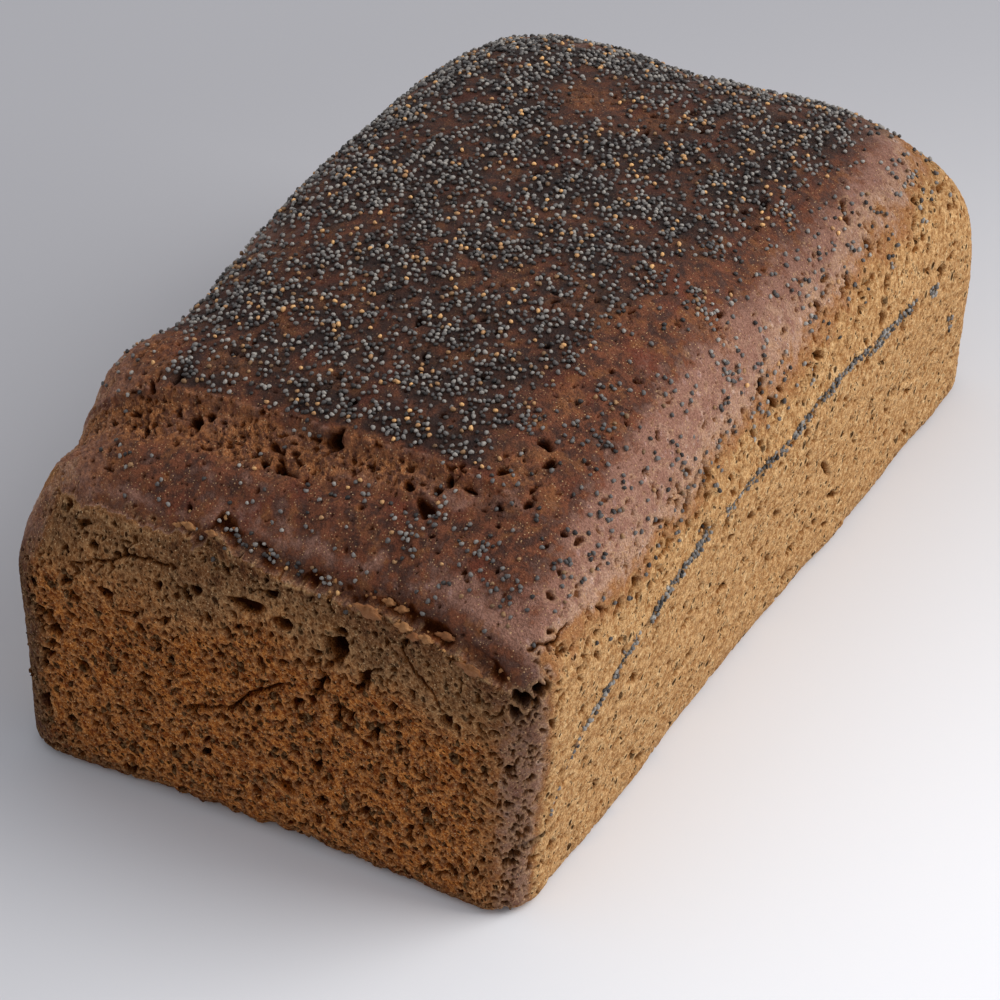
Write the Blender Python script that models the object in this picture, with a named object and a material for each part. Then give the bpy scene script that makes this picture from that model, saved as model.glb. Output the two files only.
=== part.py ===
"""A tin-baked dark rye sourdough loaf with poppy seeds on its crust, in metres, +Z up.

The origin is the middle of the flat base. -X is the end with the torn lip, -Y is the side with
the line of seeds, and the crown is highest a little towards -X.
"""

import math
import random

import bmesh
import bpy
from mathutils import Matrix, Vector, noise
from mathutils.bvhtree import BVHTree

MM = 0.001

# The tin: the base, the corners in plan and the height of the straight walls at each corner.
BASE_LENGTH = 191 * MM
BASE_WIDTH = 106.5 * MM
CORNER_RADIUS = 9 * MM
BOTTOM_RADIUS = 2.7 * MM
WALL_NEAR_RIGHT = 49 * MM
WALL_NEAR_LEFT = 41 * MM
WALL_FAR = 29 * MM

# How far the top of the walls stands out past the base, across the loaf and along it.
FLARE_ACROSS = {(-1, -1): 5.2 * MM, (-1, 1): 0.8 * MM, (1, -1): 1.8 * MM, (1, 1): 3.0 * MM}
FLARE_ALONG = 0.4 * MM

# The crown: its rise over the walls and how square its shoulders are. 2 is an ellipse.
CROWN_RISE = 43 * MM
SHOULDER_NEAR = 2.2
SHOULDER_FAR = 3.6
SHOULDER_LEFT = 3.8
SHOULDER_RIGHT = 3.5

# Slow waves all over the crust.
WAVE_LENGTH = 38 * MM
WAVE_DEPTH = 0.9 * MM

# The lip: a thin edge that stands proud along the top of the near end, with a groove behind it.
LIP_HEIGHT = 58.6 * MM
LIP_PROUD = 1.5 * MM
LIP_BAND = 2.6 * MM
GROOVE_DEPTH = 1.1 * MM

# The tear: a trench across the crown near the lip, and the seeded crust standing up behind it.
TEAR_X = -74.5 * MM
TEAR_HALF_WIDTH = 6 * MM
TEAR_DEPTH = 1.8 * MM
TEAR_STEP_X = -68.5 * MM
TEAR_STEP_RISE = 1.5 * MM
TEAR_RIGHT_END = -36 * MM

# Swells and hollows of the crust in mm: place in plan, half length, half width and rise.
SWELLS = (
    (-56, 50, 11, 16, 2.6),  # the knuckle where the tear runs out over the left shoulder
    (-38, 48, 34, 26, -3.4),  # the hollow in the left shoulder behind it
    (-74, 50, 14, 16, -1.4),
    (-92, 50, 12, 14, -2.2),
    (-10, 47, 26, 22, -1.2),
    (82, 8, 26, 22, -1.2),
    (74, -30, 30, 24, 1.0),
)

# The bottom edge of the long side: how far it draws in, along what length and up to what height.
HEM_DEPTH = 1.3 * MM
HEM_MIDDLE = -12 * MM
HEM_HALF_LENGTH = 48 * MM
HEM_HEIGHT = 9 * MM
HEM_WAVE = 14 * MM
HEM_WAVE_DEPTH = 0.5 * MM

# The line of seeds along the long side in mm, an arch that starts low at both ends: along, height.
SEAM_LINE = (
    (-87, 20),
    (-84, 27),
    (-76, 35.5),
    (-66, 40),
    (-48, 44.3),
    (-30, 46.6),
    (-15, 46.6),
    (0, 45.2),
    (30, 44.6),
    (40, 42.8),
    (57, 41.4),
    (70, 38.4),
    (78, 28),
    (85, 16.5),
)

# Spacing of the body's facets.
NEAR_ROWS = 32
FAR_ROWS = 17
SIDE_ROWS = 11
WALL_ROWS = 5
BOTTOM_ROWS = [0.015, 0.06]

# Seeds and crumbs fused to the crust.
SEED_DIAMETER = 1.25 * MM
CROWN_SEEDS = 168
SEAM_SEEDS = 26
SEED_GAP = 3.2 * MM
SEED_SUNK = 0.35
RANDOM_SEED = 1908


def superellipse(share, power):
    """Height of a unit dome at a share of its half width."""
    return max(0.0, 1 - abs(share) ** power) ** (1 / power)


def smooth_step(value, low, high):
    """0 below low, 1 above high and an S between them."""
    share = min(1.0, max(0.0, (value - low) / (high - low)))
    return share * share * (3 - 2 * share)


def bump(distance, half_width):
    """1 in the middle, falling to 0 at half_width on both sides."""
    share = min(1.0, abs(distance) / half_width)
    return (1 - share * share) ** 2


def blend_corners(x, y, near_right, near_left, far_right, far_left):
    """The value at a place in plan, from those at the four corners."""
    far = 0.5 + x / BASE_LENGTH
    left = 0.5 + y / BASE_WIDTH
    near = near_right * (1 - left) + near_left * left
    return near * (1 - far) + (far_right * (1 - left) + far_left * left) * far


def wall_height(x, y):
    """Height at which the straight wall ends and the crown begins."""
    return blend_corners(x, y, WALL_NEAR_RIGHT, WALL_NEAR_LEFT, WALL_FAR, WALL_FAR)


def crown_height(x, y):
    """Height of the smooth crown over the base."""
    along = superellipse(2 * x / BASE_LENGTH, SHOULDER_NEAR if x < 0 else SHOULDER_FAR)
    across = superellipse(2 * y / BASE_WIDTH, SHOULDER_LEFT if y > 0 else SHOULDER_RIGHT)
    return wall_height(x, y) + CROWN_RISE * along * across


def rounded_plan(x, y):
    """A place in the square-cornered base, moved so that the corners are round."""
    straight_x = BASE_LENGTH / 2 - CORNER_RADIUS
    straight_y = BASE_WIDTH / 2 - CORNER_RADIUS
    over_x = max(0.0, abs(x) - straight_x) / CORNER_RADIUS
    over_y = max(0.0, abs(y) - straight_y) / CORNER_RADIUS
    round_x = CORNER_RADIUS * over_x * math.sqrt(1 - over_y**2 / 2)
    round_y = CORNER_RADIUS * over_y * math.sqrt(1 - over_x**2 / 2)
    return (
        math.copysign(min(abs(x), straight_x) + round_x, x),
        math.copysign(min(abs(y), straight_y) + round_y, y),
    )


def flared(x, y, share):
    """A place in plan, moved out with the wall by a share of its full flare."""
    across = blend_corners(x, y, *(FLARE_ACROSS[corner] for corner in ((-1, -1), (-1, 1), (1, -1), (1, 1))))
    return (
        x + share * FLARE_ALONG * 2 * x / BASE_LENGTH,
        y + share * across * 2 * y / BASE_WIDTH,
    )


def hem(point):
    """How far the long side draws in at its bottom edge, in one long sweep and small scallops."""
    if point.y > -BASE_WIDTH / 2 + CORNER_RADIUS:
        return 0.0
    sweep = HEM_DEPTH * bump(point.x - HEM_MIDDLE, HEM_HALF_LENGTH)
    scallop = HEM_WAVE_DEPTH * noise.noise(Vector((point.x / HEM_WAVE, 0.0, 4.2)))
    ends = smooth_step(BASE_LENGTH / 2 - abs(point.x), 0.0, CORNER_RADIUS * 2)
    return (sweep + scallop * ends) * (1 - smooth_step(point.z, 0.0, HEM_HEIGHT))


def lip_line(y):
    """Height of the ragged crest of the lip."""
    ragged = noise.noise(Vector((y / (7 * MM), 1.7, 0.0)))
    return LIP_HEIGHT + 1.4 * MM * ragged


def lip(point):
    """Outward push of the lip and of the groove behind it, on the near end."""
    crest = lip_line(point.y)
    ends = smooth_step(BASE_WIDTH / 2 - abs(point.y), 2 * MM, 12 * MM)
    proud = LIP_PROUD * bump(point.z - crest, LIP_BAND)
    groove = GROOVE_DEPTH * bump(point.z - crest - 1.6 * LIP_BAND, 1.2 * LIP_BAND)
    return ends * (proud - groove)


def tear(x, y):
    """Rise and fall of the crown along the tear."""
    middle = TEAR_X + 1.6 * MM * noise.noise(Vector((0.0, y / (12 * MM), 3.1)))
    span = smooth_step(y, TEAR_RIGHT_END - 8 * MM, TEAR_RIGHT_END + 10 * MM)
    trench = TEAR_DEPTH * bump(x - middle, TEAR_HALF_WIDTH)
    behind = smooth_step(x, TEAR_STEP_X - 2 * MM, TEAR_STEP_X)
    step = TEAR_STEP_RISE * behind * (1 - smooth_step(x, TEAR_STEP_X, TEAR_STEP_X + 22 * MM))
    return span * (step - trench)


def swell(x, y):
    """How far the crust stands out or draws in at a place in plan."""
    total = 0.0
    for middle_x, middle_y, half_length, half_width, rise in SWELLS:
        along = (x / MM - middle_x) / half_length
        across = (y / MM - middle_y) / half_width
        total += rise * MM * bump(math.hypot(along, across), 1.0)
    return total


def crown_point(x, y):
    """A point on the finished crown over a place in the base."""
    place_x, place_y = flared(*rounded_plan(x, y), 1.0)
    point = Vector((place_x, place_y, crown_height(x, y)))
    inside = min(1.0, (point.z - wall_height(x, y)) / (12 * MM))
    wave = noise.noise(point / WAVE_LENGTH) * WAVE_DEPTH
    point.z += inside * (wave + tear(x, y))
    outward = Vector((x / (BASE_LENGTH / 2), y / (BASE_WIDTH / 2), 0.6)).normalized()
    point += outward * inside * swell(x, y)
    if x < 0:
        point.x -= lip(point)
    return point


def wall_point(x, y, share):
    """A point on the wall, at a share of the wall's height."""
    place_x, place_y = flared(*rounded_plan(x, y), share)
    point = Vector((place_x, place_y, share * wall_height(x, y)))
    under = max(0.0, 1 - point.z / BOTTOM_RADIUS)
    inset = BOTTOM_RADIUS * (1 - math.sqrt(1 - under * under))
    point.x -= inset * 2 * x / BASE_LENGTH
    point.y -= inset * 2 * y / BASE_WIDTH
    bulge = noise.noise(point / WAVE_LENGTH) * WAVE_DEPTH * math.sin(math.pi * share)
    side = Vector((x if abs(x) >= BASE_LENGTH / 2 else 0.0, y if abs(y) >= BASE_WIDTH / 2 else 0.0, 0.0))
    point += side.normalized() * bulge
    point.y += hem(point)
    return point


def even_stations(half, power, rows):
    """Distances from the middle that split a dome's curve into equal lengths."""
    fine = 400
    shares = [math.sin(math.pi / 2 * step / fine) for step in range(fine + 1)]
    heights = [CROWN_RISE * superellipse(share, power) for share in shares]
    lengths = [0.0]
    for step in range(fine):
        run = half * (shares[step + 1] - shares[step])
        lengths.append(lengths[-1] + math.hypot(run, heights[step + 1] - heights[step]))
    stations = []
    for row in range(1, rows):
        wanted = lengths[-1] * row / rows
        step = next(step for step in range(fine) if lengths[step + 1] >= wanted)
        part = (wanted - lengths[step]) / (lengths[step + 1] - lengths[step])
        stations.append(half * (shares[step] + part * (shares[step + 1] - shares[step])))
    return stations


def slice_at(mesh, axis, stations):
    """Cuts the whole mesh with one plane at each station along an axis."""
    normal = Vector([float(index == axis) for index in range(3)])
    for station in stations:
        everything = mesh.verts[:] + mesh.edges[:] + mesh.faces[:]
        bmesh.ops.bisect_plane(mesh, geom=everything, dist=1e-7, plane_co=normal * station, plane_no=normal)


def make_body():
    """The bare loaf: a box cut into rows, with each corner of them moved to its place."""
    mesh = bmesh.new()
    bmesh.ops.create_cube(mesh, size=1.0)
    bmesh.ops.translate(mesh, verts=mesh.verts, vec=(0, 0, 0.5))
    bmesh.ops.scale(mesh, verts=mesh.verts, vec=(BASE_LENGTH, BASE_WIDTH, 1.0))
    near = [-place for place in even_stations(BASE_LENGTH / 2, SHOULDER_NEAR, NEAR_ROWS)]
    slice_at(mesh, 0, near + [0.0] + even_stations(BASE_LENGTH / 2, SHOULDER_FAR, FAR_ROWS))
    right = [-place for place in even_stations(BASE_WIDTH / 2, SHOULDER_RIGHT, SIDE_ROWS)]
    slice_at(mesh, 1, right + [0.0] + even_stations(BASE_WIDTH / 2, SHOULDER_LEFT, SIDE_ROWS))
    slice_at(mesh, 2, BOTTOM_ROWS + [row / WALL_ROWS for row in range(1, WALL_ROWS)])
    base = [face for face in mesh.faces if face.normal.z < -0.5]
    bmesh.ops.dissolve_faces(mesh, faces=base, use_verts=True)
    for vertex in mesh.verts:
        x, y, share = vertex.co
        vertex.co = crown_point(x, y) if share > 1 - 1e-6 else wall_point(x, y, share)
    bmesh.ops.triangulate(mesh, faces=mesh.faces[:])
    bmesh.ops.recalc_face_normals(mesh, faces=mesh.faces[:])
    return mesh


def add_object(name, mesh, collection):
    """Gives a finished bmesh an object of its own."""
    data = bpy.data.meshes.new(name)
    mesh.to_mesh(data)
    mesh.free()
    item = bpy.data.objects.new(name, data)
    collection.objects.link(item)
    return item


def standing_frame(place, normal, along):
    """A matrix at a place, with Z along the surface normal and X near a wanted direction."""
    side = normal.cross(along).normalized()
    turned = Matrix((side.cross(normal), side, normal)).transposed()
    return Matrix.Translation(place) @ turned.to_4x4()


def rough_lump(frame, size, detail, roughness, rng):
    """A small ball of the given three diameters, with each corner moved in or out a little."""
    mesh = bmesh.new()
    bmesh.ops.create_icosphere(mesh, subdivisions=detail, radius=0.5)
    for vertex in mesh.verts:
        vertex.co *= 1 + roughness * rng.uniform(-1, 1)
    bmesh.ops.scale(mesh, verts=mesh.verts, vec=size)
    bmesh.ops.transform(mesh, verts=mesh.verts, matrix=frame)
    return mesh


def poppy_seed(frame, diameter):
    """One seed with six sides, a little longer than it is wide."""
    mesh = bmesh.new()
    bmesh.ops.create_uvsphere(mesh, u_segments=6, v_segments=3, radius=diameter / 2)
    bmesh.ops.scale(mesh, verts=mesh.verts, vec=(1.12, 0.95, 0.9))
    bmesh.ops.transform(mesh, verts=mesh.verts, matrix=frame)
    return mesh


# Holes that show from a step away, on each face: two coordinates in that face, then the
# length, width and depth, and the turn of the length from the first axis, in degrees.
CROWN_PITS = (
    (-66.0, 32.3, 4.0, 2.4, 2.6, 20),
    (-72.2, 25.5, 3.6, 2.8, 2.4, 30),
    (-76.2, 5.6, 6.0, 2.6, 2.2, 80),
    (-70.6, -2.5, 4.6, 2.2, 3.0, 85),
    (-75.0, -24.0, 7.0, 3.0, 1.8, 60),
    (-59.6, -40.8, 3.2, 2.2, 2.0, 0),
    (-56.5, -38.0, 3.4, 2.8, 2.4, 80),
    (49.7, -14.0, 3.2, 2.6, 2.0, 0),
    (41.5, -6.0, 3.0, 2.0, 1.8, 10),
    (32.5, -36.3, 3.4, 2.4, 1.8, 30),
)
SIDE_PITS = (
    (-30.0, 58.8, 8.4, 2.6, 2.8, 80),
    (-37.0, 59.5, 4.0, 2.4, 2.0, 60),
    (-58.3, 55.0, 4.0, 3.0, 2.6, -40),
    (-48.0, 61.3, 4.4, 2.0, 1.6, -25),
    (-1.5, 57.3, 6.5, 2.4, 2.0, -48),
    (18.5, 55.0, 5.0, 2.4, 2.2, -35),
    (-10.5, 37.0, 5.4, 2.0, 1.8, -38),
    (2.0, 28.3, 4.2, 3.0, 2.2, -50),
    (1.2, 17.2, 4.0, 3.2, 2.2, 60),
    (12.3, 12.6, 4.4, 2.8, 2.0, -20),
    (23.5, 25.0, 7.4, 2.0, 1.8, -52),
    (29.0, 14.5, 5.6, 2.2, 1.6, -40),
)
END_PITS = (
    (-54.0, 52.6, 3.8, 3.2, 5.5, 75),
    (-53.0, 49.8, 3.0, 2.8, 4.0, 60),
    (1.5, 52.6, 8.4, 3.0, 1.8, 8),
    (-6.0, 52.0, 5.0, 2.6, 1.4, 0),
    (-18.0, 37.0, 5.0, 3.0, 3.0, 0),
    (-1.4, 41.4, 4.2, 1.9, 2.4, 90),
    (-39.4, 43.6, 3.4, 2.8, 2.6, 80),
    (1.6, 31.4, 9.0, 1.6, 1.6, 134),
    (-5.0, 37.2, 6.0, 1.4, 1.4, 150),
    (11.0, 26.4, 8.0, 1.4, 1.4, 165),
    (45.6, 35.3, 3.6, 2.8, 2.4, 30),
    (42.7, 30.6, 4.4, 3.2, 2.4, 80),
    (33.6, 50.8, 9.0, 1.4, 1.4, 155),
    (23.0, 54.2, 7.0, 1.2, 1.2, 170),
)
# Flaps and crumbs along the lip: place across, height, length, height and thickness.
LIP_FLAPS = (
    (24.0, 58.2, 7.0, 2.6, 1.8),
    (12.5, 58.6, 5.0, 3.0, 1.8),
    (7.5, 59.6, 6.0, 3.2, 2.0),
    (-23.5, 60.2, 5.2, 3.0, 2.2),
    (-29.5, 59.8, 3.6, 2.4, 2.0),
    (-33.0, 59.4, 3.4, 2.2, 1.8),
    (-38.4, 58.4, 5.0, 2.2, 1.8),
    (-46.0, 56.0, 5.4, 2.8, 1.6),
)


def pit_cutters(tree, rng):
    """Rough hollows for the largest holes, each sunk half its depth into the crust."""
    faces = (
        (CROWN_PITS, lambda a, b: Vector((a, b, 200)) * MM, Vector((0, 0, -1)), Vector((1, 0, 0)), 1),
        (SIDE_PITS, lambda a, b: Vector((a, -200, b)) * MM, Vector((0, 1, 0)), Vector((1, 0, 0)), 1),
        (END_PITS, lambda a, b: Vector((-200, a, b)) * MM, Vector((1, 0, 0)), Vector((0, 1, 0)), -1),
    )
    cutters = []
    for pits, start, ray, along, handed in faces:
        for first, second, length, width, depth, turn in pits:
            place, normal, _, _ = tree.ray_cast(start(first, second), ray)
            direction = Matrix.Rotation(math.radians(turn) * handed, 3, -ray) @ along
            size = Vector((length, width, 2 * depth)) * MM
            detail = 2 if length * width > 20 else 1
            cutters.append(rough_lump(standing_frame(place, normal, direction), size, detail, 0.16, rng))
    return cutters


def lip_flaps(tree, rng):
    """Ragged flakes that stand up along the lip."""
    flaps = []
    for across, height, length, tall, thick in LIP_FLAPS:
        start = Vector((-200, across, height - tall / 3)) * MM
        place, _, _, _ = tree.ray_cast(start, Vector((1, 0, 0)))
        frame = Matrix.Translation(place) @ Matrix.Rotation(math.radians(-14), 4, "Y")
        size = Vector((thick, length, tall)) * MM
        flaps.append(rough_lump(frame, size, 1, 0.2, rng))
    return flaps


def seam_height(x):
    """Height of the line of seeds over the base."""
    for (start, low), (end, high) in zip(SEAM_LINE, SEAM_LINE[1:]):
        if x / MM <= end:
            break
    share = min(1.0, max(0.0, (x / MM - start) / (end - start)))
    return (low + (high - low) * share) * MM


def seed_share(x, y):
    """How thickly the seeds lie at a place on the crown, from 0 to 1."""
    right_edge = -27 * MM - 6 * MM * smooth_step(x, -40 * MM, 40 * MM)
    field = smooth_step(x, TEAR_STEP_X - MM, TEAR_STEP_X + MM)
    field *= smooth_step(y, right_edge - 9 * MM, right_edge)
    bare = bump((x - 47 * MM) / 1.2, 12 * MM) * bump(y - 2 * MM, 26 * MM)
    patch = 0.5 * bump(x + 81 * MM, 9 * MM) * bump(y + 24 * MM, 9 * MM)
    return max(0.09, patch, field * (1 - 0.75 * bare))


def seed_places(tree, rng):
    """Frames for the seeds: spread over the crown by its thickness of seeds, then along the seam."""
    frames = []
    places = []
    while len(frames) < CROWN_SEEDS:
        x = rng.uniform(-0.97, 0.97) * BASE_LENGTH / 2
        y = rng.uniform(-0.97, 0.97) * BASE_WIDTH / 2
        if rng.random() > seed_share(x, y):
            continue
        place, normal, _, _ = tree.find_nearest(crown_point(x, y))
        if place.z < LIP_HEIGHT + 4 * MM or any((place - other).length < SEED_GAP for other in places):
            continue
        places.append(place)
        frames.append((place, normal))
    start, end = SEAM_LINE[0][0] * MM, SEAM_LINE[-1][0] * MM
    for index in range(SEAM_SEEDS):
        x = start + (end - start) * (index + 0.5 * rng.random()) / SEAM_SEEDS
        height = seam_height(x) + rng.uniform(-0.8, 0.8) * MM
        place, normal, _, _ = tree.ray_cast(Vector((x, -200 * MM, height)), Vector((0, 1, 0)))
        frames.append((place, normal))
    return frames


def poppy_seeds(tree, rng):
    """The largest seeds first, each sunk a little into the crust."""
    frames = seed_places(tree, rng)
    diameters = sorted((SEED_DIAMETER * rng.uniform(0.86, 1.1) for _ in frames), reverse=True)
    seeds = []
    for (place, normal), diameter in zip(frames, diameters):
        angle = rng.uniform(0, 2 * math.pi)
        along = Vector((math.cos(angle), math.sin(angle), 0.1))
        centre = place + normal * diameter * (0.5 - SEED_SUNK)
        seeds.append(poppy_seed(standing_frame(centre, normal, along), diameter))
    return seeds


def combine(body, pieces, operation, solver):
    """Joins the pieces to the body, or cuts them from it, and removes them."""
    tools = bpy.data.collections.new("tools")
    bpy.context.scene.collection.children.link(tools)
    for piece in pieces:
        tool = add_object("tool", piece, tools)
        tool.hide_render = True
        tool.display_type = "WIRE"
    modifier = body.modifiers.new(operation.title(), "BOOLEAN")
    modifier.operation = operation
    modifier.solver = solver
    modifier.operand_type = "COLLECTION"
    modifier.collection = tools
    bpy.context.view_layer.update()
    graph = bpy.context.evaluated_depsgraph_get()
    body.data = bpy.data.meshes.new_from_object(body.evaluated_get(graph))
    body.modifiers.clear()
    for tool in tools.objects[:]:
        bpy.data.objects.remove(tool)
    bpy.data.collections.remove(tools)


def crust_material():
    """Dark red-brown crust, matt with a faint bloom."""
    material = bpy.data.materials.new("crust")
    material.use_nodes = True
    shader = material.node_tree.nodes["Principled BSDF"]
    shader.inputs["Base Color"].default_value = (0.105, 0.046, 0.026, 1)
    shader.inputs["Roughness"].default_value = 0.72
    shader.inputs["Metallic"].default_value = 0.0
    return material


def main():
    for item in bpy.data.objects[:]:
        bpy.data.objects.remove(item)
    rng = random.Random(RANDOM_SEED)
    body_mesh = make_body()
    bare = BVHTree.FromBMesh(body_mesh)
    loaf = add_object("loaf", body_mesh, bpy.context.scene.collection)
    combine(loaf, lip_flaps(bare, rng), "UNION", "EXACT")
    combine(loaf, pit_cutters(bare, rng), "DIFFERENCE", "EXACT")
    shaped = bmesh.new()
    shaped.from_mesh(loaf.data)
    crust = BVHTree.FromBMesh(shaped)
    shaped.free()
    combine(loaf, poppy_seeds(crust, rng), "UNION", "EXACT")
    loaf.data.materials.clear()
    loaf.data.materials.append(crust_material())
    loaf.data.shade_smooth()
    loaf.data.set_sharp_from_angle(angle=math.radians(40))


main()
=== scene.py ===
"""Finishes a tin-baked dark rye sourdough loaf: crust, pores, torn lip and poppy seeds.

The loaf's form is worked out in millimetres and written to its meshes in metres. The frame is the
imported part's own: the origin in the middle of the flat base, +Z up, -X the end with the torn lip
and -Y the long side with the line of seeds.
"""

import itertools
import logging
import math
from collections.abc import Sequence
from dataclasses import dataclass, field
from enum import Enum

import bmesh
import bpy
import numpy as np
from mathutils import Matrix, Vector, kdtree, noise


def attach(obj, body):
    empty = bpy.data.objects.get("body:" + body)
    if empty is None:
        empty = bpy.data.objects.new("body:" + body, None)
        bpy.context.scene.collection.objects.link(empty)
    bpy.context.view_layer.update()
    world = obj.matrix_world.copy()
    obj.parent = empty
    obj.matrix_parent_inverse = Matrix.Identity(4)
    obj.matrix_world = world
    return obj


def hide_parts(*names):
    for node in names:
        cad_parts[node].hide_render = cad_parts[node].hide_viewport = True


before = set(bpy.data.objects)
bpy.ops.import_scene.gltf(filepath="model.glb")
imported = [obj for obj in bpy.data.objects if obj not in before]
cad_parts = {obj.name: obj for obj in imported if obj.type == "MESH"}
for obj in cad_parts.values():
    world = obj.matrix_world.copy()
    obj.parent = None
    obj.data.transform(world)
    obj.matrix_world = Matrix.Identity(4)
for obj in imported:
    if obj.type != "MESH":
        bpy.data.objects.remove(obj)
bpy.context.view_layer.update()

MM = 0.001
LOG = logging.getLogger("sourdough_loaf")


def smooth_step(value: np.ndarray, low: float | np.ndarray, high: float | np.ndarray) -> np.ndarray:
    """Eases from 0 at one value to 1 at another.

    Args:
        value: The numbers to ease.
        low: Where the step starts.
        high: Where the step ends.

    Returns:
        Shares from 0 to 1.
    """
    share = np.clip((value - low) / (high - low), 0.0, 1.0)
    return share * share * (3.0 - 2.0 * share)


def bump(distance: np.ndarray, half_width: float | np.ndarray) -> np.ndarray:
    """Makes a round-topped bump.

    Args:
        distance: Distances from the middle of the bump.
        half_width: Where the bump has run out.

    Returns:
        1 in the middle, falling to 0 at half_width.
    """
    share = np.minimum(1.0, np.abs(distance) / half_width)
    return (1.0 - share * share) ** 2


def superellipse(share: np.ndarray, power: float) -> np.ndarray:
    """Gives the height of a unit dome.

    Args:
        share: Places across the dome, from -1 to 1.
        power: How square the dome is. 2 is an ellipse.

    Returns:
        Heights from 0 to 1.
    """
    return np.maximum(0.0, 1.0 - np.abs(share) ** power) ** (1.0 / power)


def linear(red: int, green: int, blue: int) -> tuple[float, float, float, float]:
    """Turns a colour as a painter names it, 0 to 255, into a shader's own units.

    Args:
        red: Red, 0 to 255.
        green: Green, 0 to 255.
        blue: Blue, 0 to 255.

    Returns:
        The colour with an alpha of 1.
    """
    shares = (value / 255.0 for value in (red, green, blue))
    parts = [share / 12.92 if share <= 0.04045 else ((share + 0.055) / 1.055) ** 2.4 for share in shares]
    return (parts[0], parts[1], parts[2], 1.0)


class Grain:
    """Smooth seeded noise in space, worked out for many points at once."""

    def __init__(self, seed: int) -> None:
        """Draws the table of slopes.

        Args:
            seed: Which grain this is.
        """
        rng = np.random.default_rng(seed)
        self.table = rng.permutation(256)
        slopes = rng.normal(size=(256, 3))
        self.slopes = slopes / np.linalg.norm(slopes, axis=1, keepdims=True)

    def at(self, points: np.ndarray, size: float | Sequence[float]) -> np.ndarray:
        """Reads the grain.

        Args:
            points: Places in space, one a row.
            size: Wavelength, or one for each axis.

        Returns:
            About -1 to 1 at each place.
        """
        spread = points / np.asarray(size, float)
        cell = np.floor(spread).astype(np.int64)
        part = spread - cell
        ease = part**3 * (part * (part * 6.0 - 15.0) + 10.0)
        total = np.zeros(len(points))
        for corner in itertools.product((0, 1), repeat=3):
            step = cell + corner
            key = self.table[step[:, 0] & 255]
            key = self.table[(key + step[:, 1]) & 255]
            key = self.table[(key + step[:, 2]) & 255]
            slope = np.einsum("ij,ij->i", self.slopes[key], part - corner)
            weight = np.prod(np.where(corner, ease, 1.0 - ease), axis=1)
            total += weight * slope
        return total * 1.7

    def ridges(self, points: np.ndarray, size: float | Sequence[float]) -> np.ndarray:
        """Reads the grain as sharp ridges, 1 on a ridge and 0 between them."""
        return 1.0 - np.minimum(1.0, np.abs(self.at(points, size)) * 2.2)


class Face(Enum):
    """A face of the loaf: its two axes in plane, the axis that it faces along, and which way."""

    TOP = (0, 1, 2, 1.0)
    SIDE = (0, 2, 1, -1.0)
    END = (1, 2, 0, -1.0)
    HIDDEN_SIDE = (0, 2, 1, 1.0)
    FAR_END = (1, 2, 0, 1.0)
    BASE = (0, 1, 2, -1.0)


class Region(Enum):
    """The closed pieces that the crust is divided into, and the finish slot of each."""

    CROWN_NEAR = ("crown_lip_half", "crust")
    CROWN_FAR = ("crown_far_half", "crust")
    END = ("torn_end_wall", "crumb")
    FAR_END = ("far_end_wall", "crust")
    SIDE = ("seamed_side_wall", "crust")
    HIDDEN_SIDE = ("plain_side_wall", "crust")
    BASE = ("base_crust", "crust")


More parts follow.
